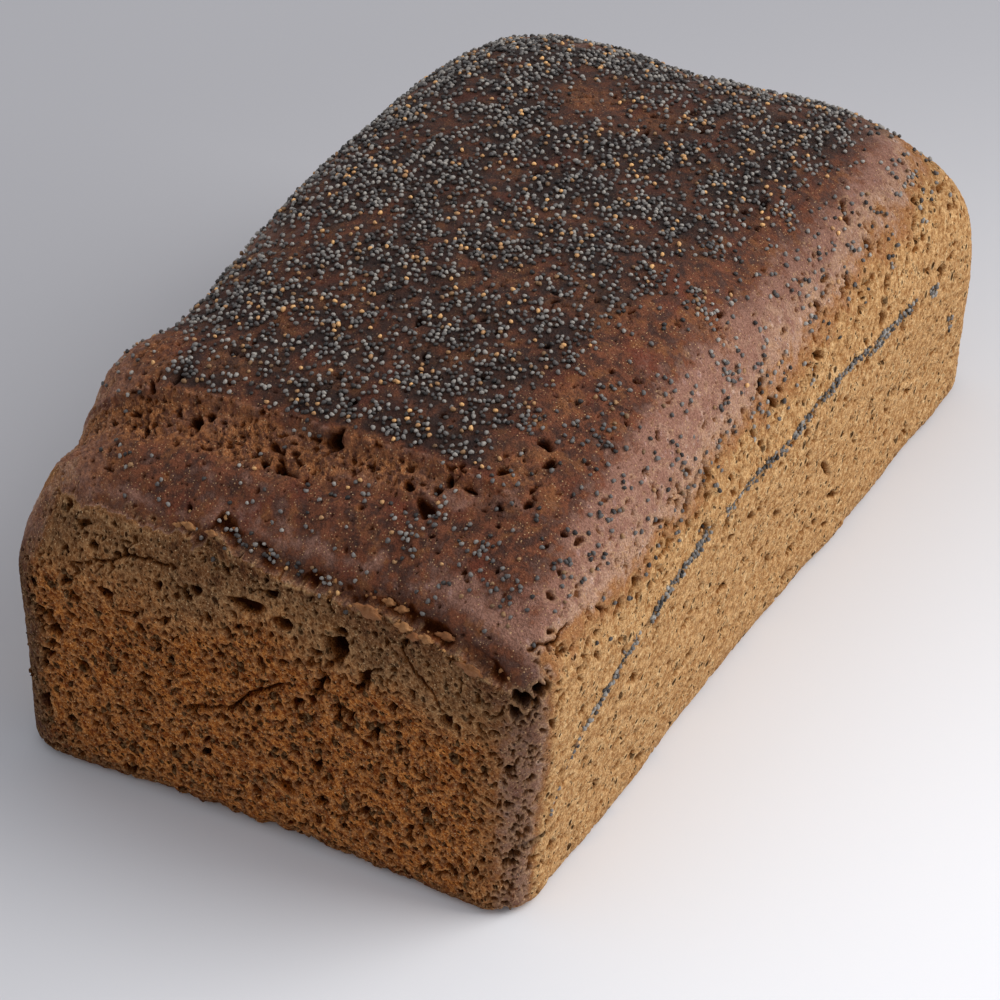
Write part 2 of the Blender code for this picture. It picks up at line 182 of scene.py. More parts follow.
@dataclass(frozen=True)
class LoafForm:
    """The loaf's main form in millimetres: tin walls, crown, swells and tear.

    Corner values go near right, near left, far right, far left.
    """

    length: float = 191.0
    width: float = 106.5
    corner_radius: float = 9.0
    bottom_radius: float = 2.7
    wall_corners: tuple[float, ...] = (49.0, 41.0, 29.0, 29.0)
    flare_corners: tuple[float, ...] = (5.2, 0.8, 1.8, 3.0)
    flare_along: float = 0.4
    crown_rise: float = 43.0
    shoulder_near: float = 2.2
    shoulder_far: float = 3.6
    shoulder_left: float = 3.8
    shoulder_right: float = 3.5
    wave_length: float = 38.0
    wave_depth: float = 0.9
    tear_x: float = -74.5
    tear_half_width: float = 6.0
    tear_depth: float = 1.8
    tear_step_x: float = -68.5
    tear_step_rise: float = 1.5
    tear_right_end: float = -36.0
    hem_depth: float = 1.3
    hem_middle: float = -12.0
    hem_half_length: float = 48.0
    hem_height: float = 9.0
    foot_draw: float = 2.0
    # The line of seeds along the long side: along, height.
    seam_line: tuple[tuple[float, float], ...] = (
        (-88, 17), (-87, 20), (-84, 27), (-80.5, 32.5), (-76, 35.5), (-66, 40), (-57, 42.6), (-48, 44.3),
        (-40, 45.6), (-30, 46.6), (-15, 46.6), (0, 45.2), (15, 45.2), (30, 44.6), (40, 42.8), (57, 41.4),
        (66, 40.4), (70, 38.4), (75, 34.4), (78, 28), (81, 22.5), (85, 16.5), (89, 11),
    )
    # Swells and hollows: place in plan, half length, half width and rise.
    swells: tuple[tuple[float, ...], ...] = (
        (-56, 50, 11, 16, 2.6),
        (-38, 48, 34, 26, -3.4),
        (-74, 50, 14, 16, -1.4),
        (-92, 50, 12, 14, -2.2),
        (-10, 47, 26, 22, -1.2),
        (82, 8, 26, 22, -1.2),
        (74, -30, 30, 24, 1.0),
    )

    def corners(self, x: np.ndarray, y: np.ndarray, values: Sequence[float]) -> np.ndarray:
        """Blends four corner values over the plan.

        Args:
            x: Places along the loaf.
            y: Places across it.
            values: The four corner values.

        Returns:
            The value at each place.
        """
        far = 0.5 + x / self.length
        left = 0.5 + y / self.width
        near_right, near_left, far_right, far_left = values
        near = near_right * (1 - left) + near_left * left
        return near * (1 - far) + (far_right * (1 - left) + far_left * left) * far

    def crown_height(self, x: np.ndarray, y: np.ndarray) -> np.ndarray:
        """Gives the height of the smooth crown over the base.

        Args:
            x: Places along the loaf.
            y: Places across it.

        Returns:
            Heights over the base.
        """
        near = superellipse(2 * x / self.length, self.shoulder_near)
        far = superellipse(2 * x / self.length, self.shoulder_far)
        left = superellipse(2 * y / self.width, self.shoulder_left)
        right = superellipse(2 * y / self.width, self.shoulder_right)
        dome = np.where(x < 0, near, far) * np.where(y > 0, left, right)
        return self.corners(x, y, self.wall_corners) + self.crown_rise * dome

    def plan(self, x: np.ndarray, y: np.ndarray, share: np.ndarray) -> tuple[np.ndarray, np.ndarray]:
        """Rounds the corners in plan and moves the walls out with their flare.

        Args:
            x: Places along the square-cornered base.
            y: Places across it.
            share: Share of the flare, 0 at the base and 1 at the top of the walls.

        Returns:
            The places along and across.
        """
        straight_x = self.length / 2 - self.corner_radius
        straight_y = self.width / 2 - self.corner_radius
        over_x = np.maximum(0.0, np.abs(x) - straight_x) / self.corner_radius
        over_y = np.maximum(0.0, np.abs(y) - straight_y) / self.corner_radius
        round_x = self.corner_radius * over_x * np.sqrt(1 - over_y**2 / 2)
        round_y = self.corner_radius * over_y * np.sqrt(1 - over_x**2 / 2)
        in_x = np.sign(x) * (np.minimum(np.abs(x), straight_x) + round_x)
        in_y = np.sign(y) * (np.minimum(np.abs(y), straight_y) + round_y)
        across = self.corners(in_x, in_y, self.flare_corners)
        out_x = in_x + share * self.flare_along * 2 * in_x / self.length
        out_y = in_y + share * across * 2 * in_y / self.width
        return out_x, out_y

    def wave(self, points: np.ndarray) -> np.ndarray:
        """Gives the slow waves that run all over the crust.

        Args:
            points: Places on the loaf.

        Returns:
            Rise or fall at each place.
        """
        spread = (points / self.wave_length).tolist()
        return self.wave_depth * np.fromiter((noise.noise(place) for place in spread), float, len(spread))

    def tear(self, x: np.ndarray, y: np.ndarray, ragged: np.ndarray) -> np.ndarray:
        """Gives the trench across the crown and the crust that stands up behind it.

        Args:
            x: Places along the loaf.
            y: Places across it.
            ragged: Noise from -1 to 1 that bends the trench.

        Returns:
            Rise or fall at each place.
        """
        middle = self.tear_x + 1.6 * ragged
        span = smooth_step(y, self.tear_right_end - 8.0, self.tear_right_end + 10.0)
        trench = self.tear_depth * bump(x - middle, self.tear_half_width)
        behind = smooth_step(x - 1.6 * ragged, self.tear_step_x - 1.6, self.tear_step_x)
        step = self.tear_step_rise * behind * (1 - smooth_step(x, self.tear_step_x, self.tear_step_x + 22.0))
        return span * (step - trench)

    def swell(self, x: np.ndarray, y: np.ndarray) -> np.ndarray:
        """Gives how far the crust stands out or draws in.

        Args:
            x: Places along the loaf.
            y: Places across it.

        Returns:
            Distance outwards.
        """
        total = np.zeros(len(x))
        for middle_x, middle_y, half_length, half_width, rise in self.swells:
            reach = np.hypot((x - middle_x) / half_length, (y - middle_y) / half_width)
            total += rise * bump(reach, 1.0)
        return total

    def crown_points(self, x: np.ndarray, y: np.ndarray) -> np.ndarray:
        """Places points on the crown.

        Args:
            x: Places along the base.
            y: Places across it.

        Returns:
            Points, one a row.
        """
        place_x, place_y = self.plan(x, y, np.ones(len(x)))
        height = self.crown_height(x, y)
        inside = np.minimum(1.0, (height - self.corners(x, y, self.wall_corners)) / 12.0)
        points = np.column_stack((place_x, place_y, height))
        lane = np.column_stack((np.zeros(len(y)), y / 12.0, np.full(len(y), 3.1)))
        ragged = np.fromiter((noise.noise(place) for place in lane.tolist()), float, len(y))
        points[:, 2] += inside * (self.wave(points) + self.tear(x, y, ragged))
        outward = np.column_stack((2 * x / self.length, 2 * y / self.width, np.full(len(x), 0.6)))
        outward /= np.linalg.norm(outward, axis=1, keepdims=True)
        return points + outward * (inside * self.swell(x, y))[:, None]

    def wall_points(self, x: np.ndarray, y: np.ndarray, share: np.ndarray) -> np.ndarray:
        """Places points on the walls and the base.

        Args:
            x: Places along the base.
            y: Places across it.
            share: Share of the wall's height.

        Returns:
            Points, one a row.
        """
        place_x, place_y = self.plan(x, y, share)
        height = share * self.corners(x, y, self.wall_corners)
        under = np.maximum(0.0, 1 - height / self.bottom_radius)
        inset = self.bottom_radius * (1 - np.sqrt(1 - under * under))
        place_x -= inset * 2 * x / self.length
        place_y -= inset * 2 * y / self.width
        points = np.column_stack((place_x, place_y, height))
        bulge = self.wave(points) * np.sin(np.pi * share)
        on_end = np.abs(x) >= self.length / 2 - 1e-6
        on_side = np.abs(y) >= self.width / 2 - 1e-6
        outward = np.column_stack((np.sign(x) * on_end, np.sign(y) * on_side, np.zeros(len(x))))
        outward /= np.maximum(1.0, np.linalg.norm(outward, axis=1, keepdims=True))
        points += outward * bulge[:, None]
        points[:, 1] += self.hem(points)
        return points

    def hem(self, points: np.ndarray) -> np.ndarray:
        """Gives how far the long side draws in at its bottom edge.

        Args:
            points: Places on the walls and the base.

        Returns:
            Distance inwards.
        """
        x, y, z = points.T
        edge = 1 - smooth_step(y, -self.width / 2, -self.width / 2 + 26.0)
        sweep = self.hem_depth * bump(x - self.hem_middle, self.hem_half_length)
        lane = np.column_stack((x / 14.0, np.zeros(len(x)), np.full(len(x), 4.2)))
        scallop = 0.5 * np.fromiter((noise.noise(place) for place in lane.tolist()), float, len(x))
        ends = smooth_step(self.length / 2 - np.abs(x), 0.0, self.corner_radius * 2)
        return edge * (sweep + scallop * ends) * (1 - smooth_step(z, 0.0, self.hem_height))

    def seam_height(self, x: np.ndarray) -> np.ndarray:
        """Gives the height of the line of seeds on the long side."""
        places, heights = zip(*self.seam_line)
        return np.interp(x, places, heights)

    def stations(self, half: float, powers: tuple[float, float], rows: int) -> np.ndarray:
        """Splits the dome's curve from edge to edge into about equal lengths.

        Args:
            half: Half the width of the dome.
            powers: Squareness of its low and of its high side.
            rows: Number of rows.

        Returns:
            rows + 1 places from -half to half.
        """
        fine = np.sin(np.linspace(-np.pi / 2, np.pi / 2, 4001))
        dome = np.where(fine < 0, superellipse(fine, powers[0]), superellipse(fine, powers[1]))
        steps = np.hypot(np.diff(fine) * half, np.diff(dome) * self.crown_rise * 0.85)
        lengths = np.concatenate(([0.0], np.cumsum(steps)))
        return np.interp(np.linspace(0.0, lengths[-1], rows + 1), lengths, fine) * half


# Holes that show from a step away: two places in their face, then length, width, depth and the
# turn of the length from the first axis in degrees.
CROWN_PITS = (
    (-66, 32.3, 4, 1.9, 2.6, 10), (-72.2, 25.5, 3.6, 2.6, 2.4, 30), (-74.5, 34.6, 4.8, 1.4, 1.4, 25),
    (-69, 36.5, 3, 1.6, 1.6, 30), (-71.5, 29.5, 2.2, 1.6, 1.4, 60), (-76, 8.3, 3, 1.9, 2, 70),
    (-76.4, 4.2, 5.6, 2.4, 2.2, 80), (-73.2, 6.6, 1.8, 1.2, 1.4, 60), (-72.6, 4.2, 1.4, 1.1, 1.2, 60),
    (-70.6, -2.5, 4.6, 1.8, 3, 85), (-72.8, -19.5, 3.6, 1.8, 1.6, 60), (-75, -24, 7, 2.6, 1.6, 60),
    (-70.6, -30.6, 3, 1.4, 1.8, 85), (-71.5, -36.8, 2, 1.2, 1.3, 80), (-68.8, -41.6, 2.6, 1.6, 1.6, 0),
    (-66, -40.8, 2, 1.3, 1.3, 0), (-59.6, -40.8, 3.2, 2.1, 2, 0), (-56.5, -38, 3.4, 2.7, 2.4, 80),
    (-87, 18, 2.2, 1.2, 1.2, 0), (-89.3, 2, 2.6, 1.2, 1.4, 80), (-23, -21.5, 1.9, 1.6, 1.5, 0),
    (-3, -45.5, 2.4, 1.4, 1.4, 20), (49.7, -14, 3.2, 2.4, 2, 0), (41.5, -6, 3, 1.8, 1.8, 10),
    (32.5, -36.3, 3.4, 2, 1.8, 30),
)
SIDE_PITS = (
    (-30, 58.8, 8.4, 2, 2.8, 80), (-36, 64, 2.6, 1.8, 1.2, 60), (-37, 59.5, 4, 2.2, 2, 60),
    (-33.2, 57.5, 3, 1.8, 1.8, 60), (-48, 61.3, 4.4, 1.5, 1.7, -25), (-42.5, 56.5, 2.6, 1.6, 1.4, 0),
    (-34, 53, 2.4, 1.2, 1.2, 0), (-58.3, 55, 4, 2.9, 2.6, -40), (-65.5, 55.2, 4.4, 1.8, 1.4, 20),
    (-77, 55.3, 2, 1.6, 1.6, 60), (-81, 51.2, 2.6, 2, 1.6, 60), (-82.5, 57.5, 2.4, 1, 1, 0),
    (-63.5, 63, 2, 1.4, 1.2, -40), (-68.5, 64.8, 2.2, 1, 1, 0), (-65, 46.8, 2.6, 1.8, 1.2, 0),
    (-10.5, 56.5, 4, 1.6, 2, -50), (-1.5, 57.3, 6.5, 1.6, 2, -48), (1.8, 58.2, 3, 1.4, 1.4, -48),
    (18.5, 55, 5, 2, 2.2, -35), (34.5, 52, 2.6, 2.2, 1.6, 0), (58.5, 51.6, 2.8, 2.2, 1.6, -30),
    (67.5, 51.4, 2.2, 1.8, 1.4, 0), (73.8, 40.8, 3.6, 1.8, 1.6, -30), (48.5, 51, 2, 1.2, 1, 0),
    (28.5, 55, 2, 1.2, 1, 0), (-10.5, 37, 5.4, 1.5, 1.8, -38), (-1, 31.3, 5, 1.6, 1.6, -10),
    (2, 28.3, 4.2, 2.8, 2.2, -50), (-20.5, 27, 5, 2.6, 1.6, -30), (-11.5, 26.8, 3.6, 1.8, 1.4, -20),
    (-7.5, 28, 3, 1.2, 1, 0), (-34.5, 31.3, 3.4, 1.2, 1.2, -25), (-35, 20.4, 3.6, 1.8, 1.4, 35),
    (-51.4, 23.8, 2.6, 1.8, 1.5, 0), (-43, 13.8, 2.4, 1.6, 1.2, 0), (-61, 19, 4.2, 2.2, 1, 0),
    (-74, 24.8, 2.8, 2, 1.5, 0), (-76, 28.5, 2.2, 1.6, 1.2, 60), (-64.8, 24.8, 2.6, 1.6, 1.2, -30),
    (-66.8, 27.8, 2.2, 1.6, 1.2, 60), (-57, 32, 2.6, 2, 1.2, 60), (-68, 13.8, 3.6, 1.8, 1.2, -60),
    (-3, 22.8, 3.4, 1.6, 1.2, -20), (13.8, 35, 4, 1.4, 1.4, -55), (6, 23.3, 3.6, 2.2, 1.6, 0),
    (15.5, 27.2, 4.6, 1.6, 1.4, -20), (23.5, 25, 7.4, 1.7, 1.8, -52), (12.3, 12.6, 4.4, 2.6, 2, -20),
    (1.2, 17.2, 4, 3, 2.2, 60), (13, 21.2, 2.4, 1.4, 1.2, -40), (29, 14.5, 5.6, 1.9, 1.6, -40),
    (21.8, 12.5, 3.6, 1.4, 1.2, -55), (54.5, 23, 3, 2.2, 1.6, 0), (57, 34, 3.4, 1.4, 1.2, -25),
    (16.8, 22.8, 3.4, 1.4, 1.2, -45), (51.5, 20, 3.4, 1.2, 1, -42), (52.8, 13.8, 2.8, 1.6, 1.2, -40),
    (-27, 39, 4.4, 1.4, 1.2, 25), (12, 40.6, 3.4, 1, 1, -10),
)
END_PITS = (
    (-54, 52.6, 3.8, 3.1, 5.5, 75), (-53, 49.8, 3, 2.6, 4, 60), (1.5, 52.6, 8.4, 2.9, 1.6, 8),
    (-6, 52, 5, 2.4, 1.4, 0), (12.4, 52.3, 3.4, 1.8, 2, -15), (15.9, 51.5, 1.5, 1.2, 1.4, 0),
    (20, 50.4, 2.6, 1.8, 1.6, 90), (34.8, 53, 1.8, 1.1, 1.1, 30), (37.6, 56.2, 3.8, 1.4, 1.2, -10),
    (-18, 54.6, 3, 1.8, 2, -30), (-13, 48.3, 3.2, 1.8, 2, -20), (-16.8, 47.5, 2.4, 1.1, 1.2, -60),
    (-23, 46, 4.6, 2.4, 1.6, 90), (-33, 47, 3.6, 1, 1.2, 70), (-39.4, 43.6, 3.4, 2.7, 2.6, 80),
    (-6, 43.6, 3.2, 1.6, 1.8, -20), (-9.4, 44.8, 1.8, 1.4, 1.4, 90), (9.6, 47.4, 2.8, 1.6, 1.6, 90),
    (31, 44.6, 4.2, 2.4, 1.6, 40), (27, 42, 3.2, 1.4, 1.5, 0), (38.2, 41.6, 3.2, 2.6, 1.4, 0),
    (7.4, 41.2, 3.4, 1.6, 1.5, 35), (-1.4, 41.4, 4.2, 1.8, 2.4, 90), (-15, 42.8, 2.6, 1.8, 1.6, 0),
    (-18, 37, 5, 2.9, 3, 0), (-12, 36.9, 3, 1.9, 1.4, 90), (-26, 36.8, 3.6, 1.2, 1.4, 0),
    (-34.8, 36.4, 2.6, 1.6, 1.6, 0), (45.6, 35.3, 3.6, 2.8, 2.4, 30), (42.6, 31.4, 3.2, 3, 2.4, 80),
    (43.2, 28.6, 2.6, 2.4, 2, 0), (45, 25.6, 3.4, 2.4, 1.6, -30), (45.8, 23.2, 2.4, 1.8, 1.4, 0),
    (31.3, 33.8, 3.4, 1.3, 1.6, 70), (27.4, 31.8, 2.2, 1.6, 1.6, 90), (20, 35.8, 1.8, 1.4, 1.4, 0),
    (23.5, 36.4, 1.5, 1.2, 1.2, 0), (14.8, 34.2, 1.8, 1, 1.2, 40), (37.5, 36.2, 1.8, 1.2, 1.2, 90),
    (5.6, 23.9, 2, 1.4, 1.5, 0), (2.3, 22.9, 3, 1.2, 1.2, 0), (-8.4, 22.9, 2.6, 1, 1.2, 0),
    (16.6, 25.6, 1.8, 1.1, 1.2, -20), (22.1, 24.8, 1.4, 1.1, 1.1, 0), (-34.7, 28, 2, 1.8, 2.2, 0),
    (-31, 33, 2.2, 1.2, 1.2, 0), (-48, 27.8, 2.4, 1.6, 1.4, 10), (-46.4, 22.8, 2.4, 1.1, 1.2, 60),
    (-22.8, 30.8, 3.8, 2.4, 1, 20), (11.2, 15.4, 3.2, 2, 2.4, -70), (10.9, 18.8, 3, 1.1, 1.4, -60),
    (31.5, 13, 2.6, 1.8, 1.6, 50), (23, 13.4, 2.4, 2, 1.8, -20), (40.8, 11.2, 2.2, 1.8, 1.6, 0),
    (22, 17.4, 3.6, 1.1, 1.2, -40), (-27, 16.2, 1.4, 1.2, 1.2, 0), (-27, 9.6, 2.6, 1, 1.2, 0),
    (-35, 11, 2, 1.3, 1.4, 30), (13.2, 5.8, 2.2, 1.5, 1.4, -20), (-7, 5.2, 3.4, 1.2, 1.2, 0),
    (5.6, 8.2, 3.6, 1.2, 1.2, -15), (-46, 12.6, 2, 1, 1, -20), (-5.6, 13.8, 4.4, 3.4, 0.9, 0),
)
# Cracks: the face, then half width, depth and the places in that face that they run through.
CRACKS = (
    (Face.END, 0.55, 1.4, (
        (15, 25), (10.5, 26.6), (6.6, 27.6), (5, 28.4), (3.2, 31), (2, 32.2), (-0.6, 34.4), (-3.4, 36),
        (-5.6, 38), (-7.6, 38.6),
    )),
    (Face.END, 0.4, 0.9, (
        (39, 48.2), (34.6, 50.2), (30.4, 51.8), (27.6, 53.4), (22.6, 54.4), (17, 54.6),
    )),
    (Face.END, 0.35, 0.5, (
        (-30, 55.5), (-33, 52), (-36.5, 49.5), (-38.5, 46),
    )),
    (Face.SIDE, 0.3, 0.7, (
        (-91, 60.2), (-88, 61), (-85, 60.2), (-81, 61.4),
    )),
)


@dataclass(frozen=True)
class PoreBed:
    """A spread of small pores over one zone of the crust, sizes in millimetres."""

    zone: str
    face: Face
    per_square: float
    length: float
    spread: float
    slimness: float
    depth: float
    turn: float
    scatter: float


@dataclass(frozen=True)
class LipForm:
    """The thin torn edge along the top of the near end, in millimetres."""

    crest: tuple[tuple[float, float], ...] = (
        (-56, 52), (-50, 55), (-46, 56.6), (-42, 58.2), (-36, 59.2), (-30, 60.0), (-24, 60.4), (-20, 59.2),
        (-10, 59.3), (0, 60.0), (4, 60.7), (8, 61.8), (11.6, 61.9), (12.6, 59.2), (14.6, 59.0), (15.4, 60.6),
        (18, 60.4), (20, 59.6), (30, 59.6), (40, 58.6), (54, 55),
    )
    proud: float = 1.3
    groove: float = 1.1
    ramp: float = 5.0
    groove_reach: float = 3.6

    def height(self, y: np.ndarray, ragged: np.ndarray) -> np.ndarray:
        """Gives the height of the ragged crest.

        Args:
            y: Places across the loaf.
            ragged: Noise from -1 to 1.

        Returns:
            Heights over the base.
        """
        ends, heights = zip(*self.crest)
        return np.interp(y, ends, heights) + 1.1 * ragged

    def strength(self, y: np.ndarray) -> np.ndarray:
        """Gives how strongly the lip stands out, from 0 at the left end to 1."""
        left = 1 - smooth_step(y, 11.0, 20.0) * 0.75
        return left * smooth_step(y, -54.0, -48.0) * (1 - smooth_step(y, 40.0, 50.0))

    def profile(self, above: np.ndarray) -> np.ndarray:
        """Gives the outward push of the lip and the groove behind it.

        Args:
            above: Heights over the crest.

        Returns:
            Distance outwards, negative in the groove.
        """
        rise = self.proud * smooth_step(above, -self.ramp, 0.0)
        back = smooth_step(above, 0.0, 0.35)
        dip = -self.groove * (1 - smooth_step(above, 0.9, self.groove_reach))
        return rise * (1 - back) + dip * back


@dataclass
class Relief:
    """Fine relief, the marks of the oven and painted shade and highlights, gathered over a lattice before they
    are applied.

    All lengths are in millimetres. Marks run from 0 to 1.
    """

    form: LoafForm
    lip: LipForm
    points: np.ndarray
    normals: np.ndarray
    areas: np.ndarray
    shift: np.ndarray = field(init=False)
    marks: dict[str, np.ndarray] = field(init=False)
    zones: dict[str, np.ndarray] = field(init=False)
    first_seed: int = 40
    grain_count: int = 12
    pore_seed: int = 77

    beds: tuple[PoreBed, ...] = (
        PoreBed("end_crumb", Face.END, 0.20, 1.20, 0.42, 0.66, 0.85, 40, 40),
        PoreBed("end_crumb", Face.END, 0.75, 0.70, 0.32, 0.76, 0.75, 40, 60),
        PoreBed("end_band", Face.END, 0.42, 0.80, 0.36, 0.80, 0.60, 30, 60),
        PoreBed("side", Face.SIDE, 0.030, 2.20, 0.28, 0.66, 0.50, 20, 40),
        PoreBed("side", Face.SIDE, 0.26, 0.95, 0.34, 0.62, 0.55, 20, 60),
        PoreBed("transition", Face.SIDE, 0.30, 1.30, 0.42, 0.62, 0.80, 20, 60),
        PoreBed("hidden_side", Face.HIDDEN_SIDE, 0.030, 2.20, 0.28, 0.66, 0.50, 20, 40),
        PoreBed("hidden_side", Face.HIDDEN_SIDE, 0.22, 0.95, 0.34, 0.62, 0.55, 20, 60),
        PoreBed("far_end", Face.FAR_END, 0.24, 1.15, 0.36, 0.58, 0.60, 40, 30),
        PoreBed("base", Face.BASE, 0.10, 1.30, 0.40, 0.70, 0.45, 0, 90),
        PoreBed("shoulder", Face.TOP, 0.06, 0.85, 0.34, 0.75, 0.75, 0, 60),
        PoreBed("torn", Face.TOP, 0.55, 0.90, 0.45, 0.62, 0.85, 75, 40),
    )

    def __post_init__(self) -> None:
        """Starts with no relief and works out the zones."""
        self.shift = np.zeros_like(self.points)
        self.marks = {}
        self.zones = {}
        self.grains = [Grain(self.first_seed + number) for number in range(self.grain_count)]
        self.map_zones()

    def noise(self, which: int, size: float | Sequence[float]) -> np.ndarray:
        """Reads one of the grains at all points."""
        return self.grains[which].at(self.points, size)

    def map_zones(self) -> None:
        """Works out where each kind of crust lies."""
        form = self.form
        x, y, z = self.points.T
        lean_x, lean_y, lean_z = self.normals.T
        far = 0.5 + x / form.length
        wander = 2.2 * self.noise(0, 13.0) + 1.0 * self.noise(1, 4.0)
        lane = np.column_stack((np.full(len(y), 1.7), y, np.zeros(len(y))))
        ragged = 0.65 * self.grains[2].at(lane, 5.0) + 0.5 * self.grains[3].at(lane, 1.9)
        self.above_lip = z - self.lip.height(y, ragged)
        end = smooth_step(-lean_x, 0.45, 0.75)
        fade = 0.4 + 3.0 * smooth_step(y, 10.0, 24.0)
        under_lip = end * (1 - smooth_step(self.above_lip, -fade, fade))
        side = smooth_step(-lean_y, 0.45, 0.75)
        hidden = smooth_step(lean_y, 0.45, 0.75)
        back = smooth_step(lean_x, 0.45, 0.75)
        base = smooth_step(-lean_z, 0.5, 0.8)
        low = 47.0 + 3.0 * far
        high = 69.0 + 4.0 * far
        patchy = wander + 3.2 * self.noise(9, 6.0) + 2.2 * self.noise(6, 2.6)
        browned = smooth_step(z + patchy, low, high)
        crown = smooth_step(lean_z, 0.25, 0.7)
        inward = smooth_step(lean_z + 0.06 * self.noise(10, 8.0), 0.62, 0.985)
        near_crown = (1 - smooth_step(x, -84.0, -62.0)) * smooth_step(y, -44.0, -26.0)
        inward = np.maximum(inward, near_crown)
        rim = -(y + 0.05 * (z - 20.0)) + 2.0 * self.noise(9, 5.0) + 1.0 * self.noise(10, 2.0)
        edge_right = smooth_step(rim, 42.5, 54.0) * smooth_step(-x + 0.8 * self.noise(10, 5.0), 87.0, 93.0)
        leftward = y + 0.7 * wander + 0.10 * np.maximum(0, 22.0 - z)
        edge_left = smooth_step(leftward, 43.5, 49.0) * smooth_step(-x, 78.0, 89.0)
        inner = -79.5 + 5.0 * smooth_step(-y, -4.0, 16.0)
        torn_band = smooth_step(x + 2.2 * self.noise(4, 7.0), inner, inner + 4.5)
        step_x = form.tear_step_x
        torn_band *= 1 - smooth_step(x + 1.2 * self.noise(4, 5.0), step_x - 1.5, step_x + 0.5)
        torn_band *= smooth_step(y + 3.0 * self.noise(5, 8.0), -40.0, -28.0) * crown
        torn_band *= 0.70 + 0.30 * smooth_step(self.noise(11, 9.0), -0.35, 0.25)
        left = smooth_step(y + wander, 30.0, 40.0) * smooth_step(x, -92.0, -84.0)
        left *= 1 - smooth_step(x, -62.0, -54.0)
        torn_band = np.maximum(torn_band, 0.45 * left * crown)
        spots = (
            (-48, -13, 5), (-47, -8, 4), (-60, 43, 12), (-60, 5, 6), (-60, 25, 8), (-22.5, -22, 4),
            (-19, -31, 8), (-64, -37, 8), (26, -36, 5), (36, -23, 5), (-45, -36, 6), (-8, -46, 6),
            (48, 10, 9), (49, -8, 8),
        )
        for spot_x, spot_y, reach in spots:
            near = bump(np.hypot(x - spot_x, y - spot_y) + 1.6 * self.noise(6, 3.0), reach)
            torn_band = np.maximum(torn_band, 0.50 * near * crown)
        between = smooth_step(z, 47.0, 52.0) * (1 - smooth_step(z, 60.0, 68.0))
        banded = smooth_step(z + 2.4 * wander + 0.10 * np.abs(y + 5.0), 42.0, 63.0)
        self.zones = {
            "end_crumb": under_lip * (1 - banded),
            "end_band": under_lip * banded,
            "side": side * (1 - 0.7 * browned),
            "transition": between * side * smooth_step(self.noise(9, 9.0), -0.2, 0.4),
            "hidden_side": hidden * (1 - 0.7 * browned),
            "far_end": back * (1 - 0.7 * browned),
            "base": base,
            "shoulder": np.clip(browned * (1 - under_lip), 0, 1),
            "torn": torn_band,
        }
        field_edge = -27.0 - 6.0 * smooth_step(x, -40.0, 40.0)
        seeded = smooth_step(x, step_x, step_x + 2.0) * smooth_step(y, field_edge - 9.0, field_edge)
        seeded *= crown
        bare = bump((x - 47.0) / 1.2, 12.0) * bump(y - 2.0, 26.0)
        clumps = 0.5 + 0.75 * self.noise(7, 9.0) + 0.45 * self.noise(8, 3.5)
        left_bare = smooth_step(y, 33.0, 38.0) * (1 - smooth_step(x, -56.0, -46.0))
        self.seeded = seeded * (1 - 0.8 * bare) * (1 - left_bare)
        self.clumps = np.clip(clumps, 0.0, 1.0)
        self.crown = crown
        scorch = 0.95 * edge_left * (1 - smooth_step(z + wander, 40.0, 54.0))
        scorch = np.maximum(scorch, 0.52 * edge_right * (1 - base))
        scorch = np.maximum(scorch, 0.85 * smooth_step(y + wander - 1.1 * z, 24.0, 44.0) * end)
        foot = (1 - smooth_step(z + 0.9 * wander, 0.8, 5.0)) * (1 - 0.65 * side) * (1 - base)
        # Darker ground in the seed field, more where seeds crowd: partly the crust's own tone, partly painted
        # shade between the seeds.
        seed_ground_and_shade = self.seeded * (0.40 + 0.5 * smooth_step(self.clumps, 0.15, 0.7))
        self.marks = {
            "bake": np.clip(self.baked(browned, inward, end, under_lip), 0, 1),
            "crumb": self.zones["end_crumb"],
            "torn": torn_band,
            "dust": self.zones["end_band"],
            "scorch": np.clip(np.maximum(scorch, 0.75 * foot), 0, 1),
            # hollow: painted shade in the pits, cracks and the groove behind the lip.
            "hollow": np.zeros(len(z)),
            # rim: pale rims round pits and along the lip crest, partly pale crumb and partly a painted
            # highlight.
            "rim": np.zeros(len(z)),
            # Darker crust: the seed field, partly painted shade between the seeds, and the far crown.
            "soot": seed_ground_and_shade + 0.20 * crown * smooth_step(x, -30.0, 40.0),
        }
        self.marks["bake"] = np.maximum(self.marks["bake"], 0.56 * edge_right * (1 - base))
        self.marks["bake"] = np.maximum(self.marks["bake"], 0.60 * edge_left * (1 - base))
        self.marks["crumb"] = self.marks["crumb"] * (1 - 0.85 * edge_right)
        self.marks["bake"] = np.maximum(self.marks["bake"], 0.25 * base)

    def baked(
        self, browned: np.ndarray, inward: np.ndarray, end: np.ndarray, under_lip: np.ndarray
    ) -> np.ndarray:
        """Works out how dark the oven made the crust.

        Args:
            browned: Share of browning by height.
            inward: Share by how flat the crown lies.
            end: Share that faces the near end.
            under_lip: Share that lies under the lip.

        Returns:
            0 for pale wall, about 0.6 for the shoulders and 1 for the crown.
        """
        level = 0.60 * browned + 0.40 * browned * inward
        over_lip = np.maximum(level, 0.92 * end)
        return np.where(self.above_lip > 0, over_lip, level * (1 - under_lip))

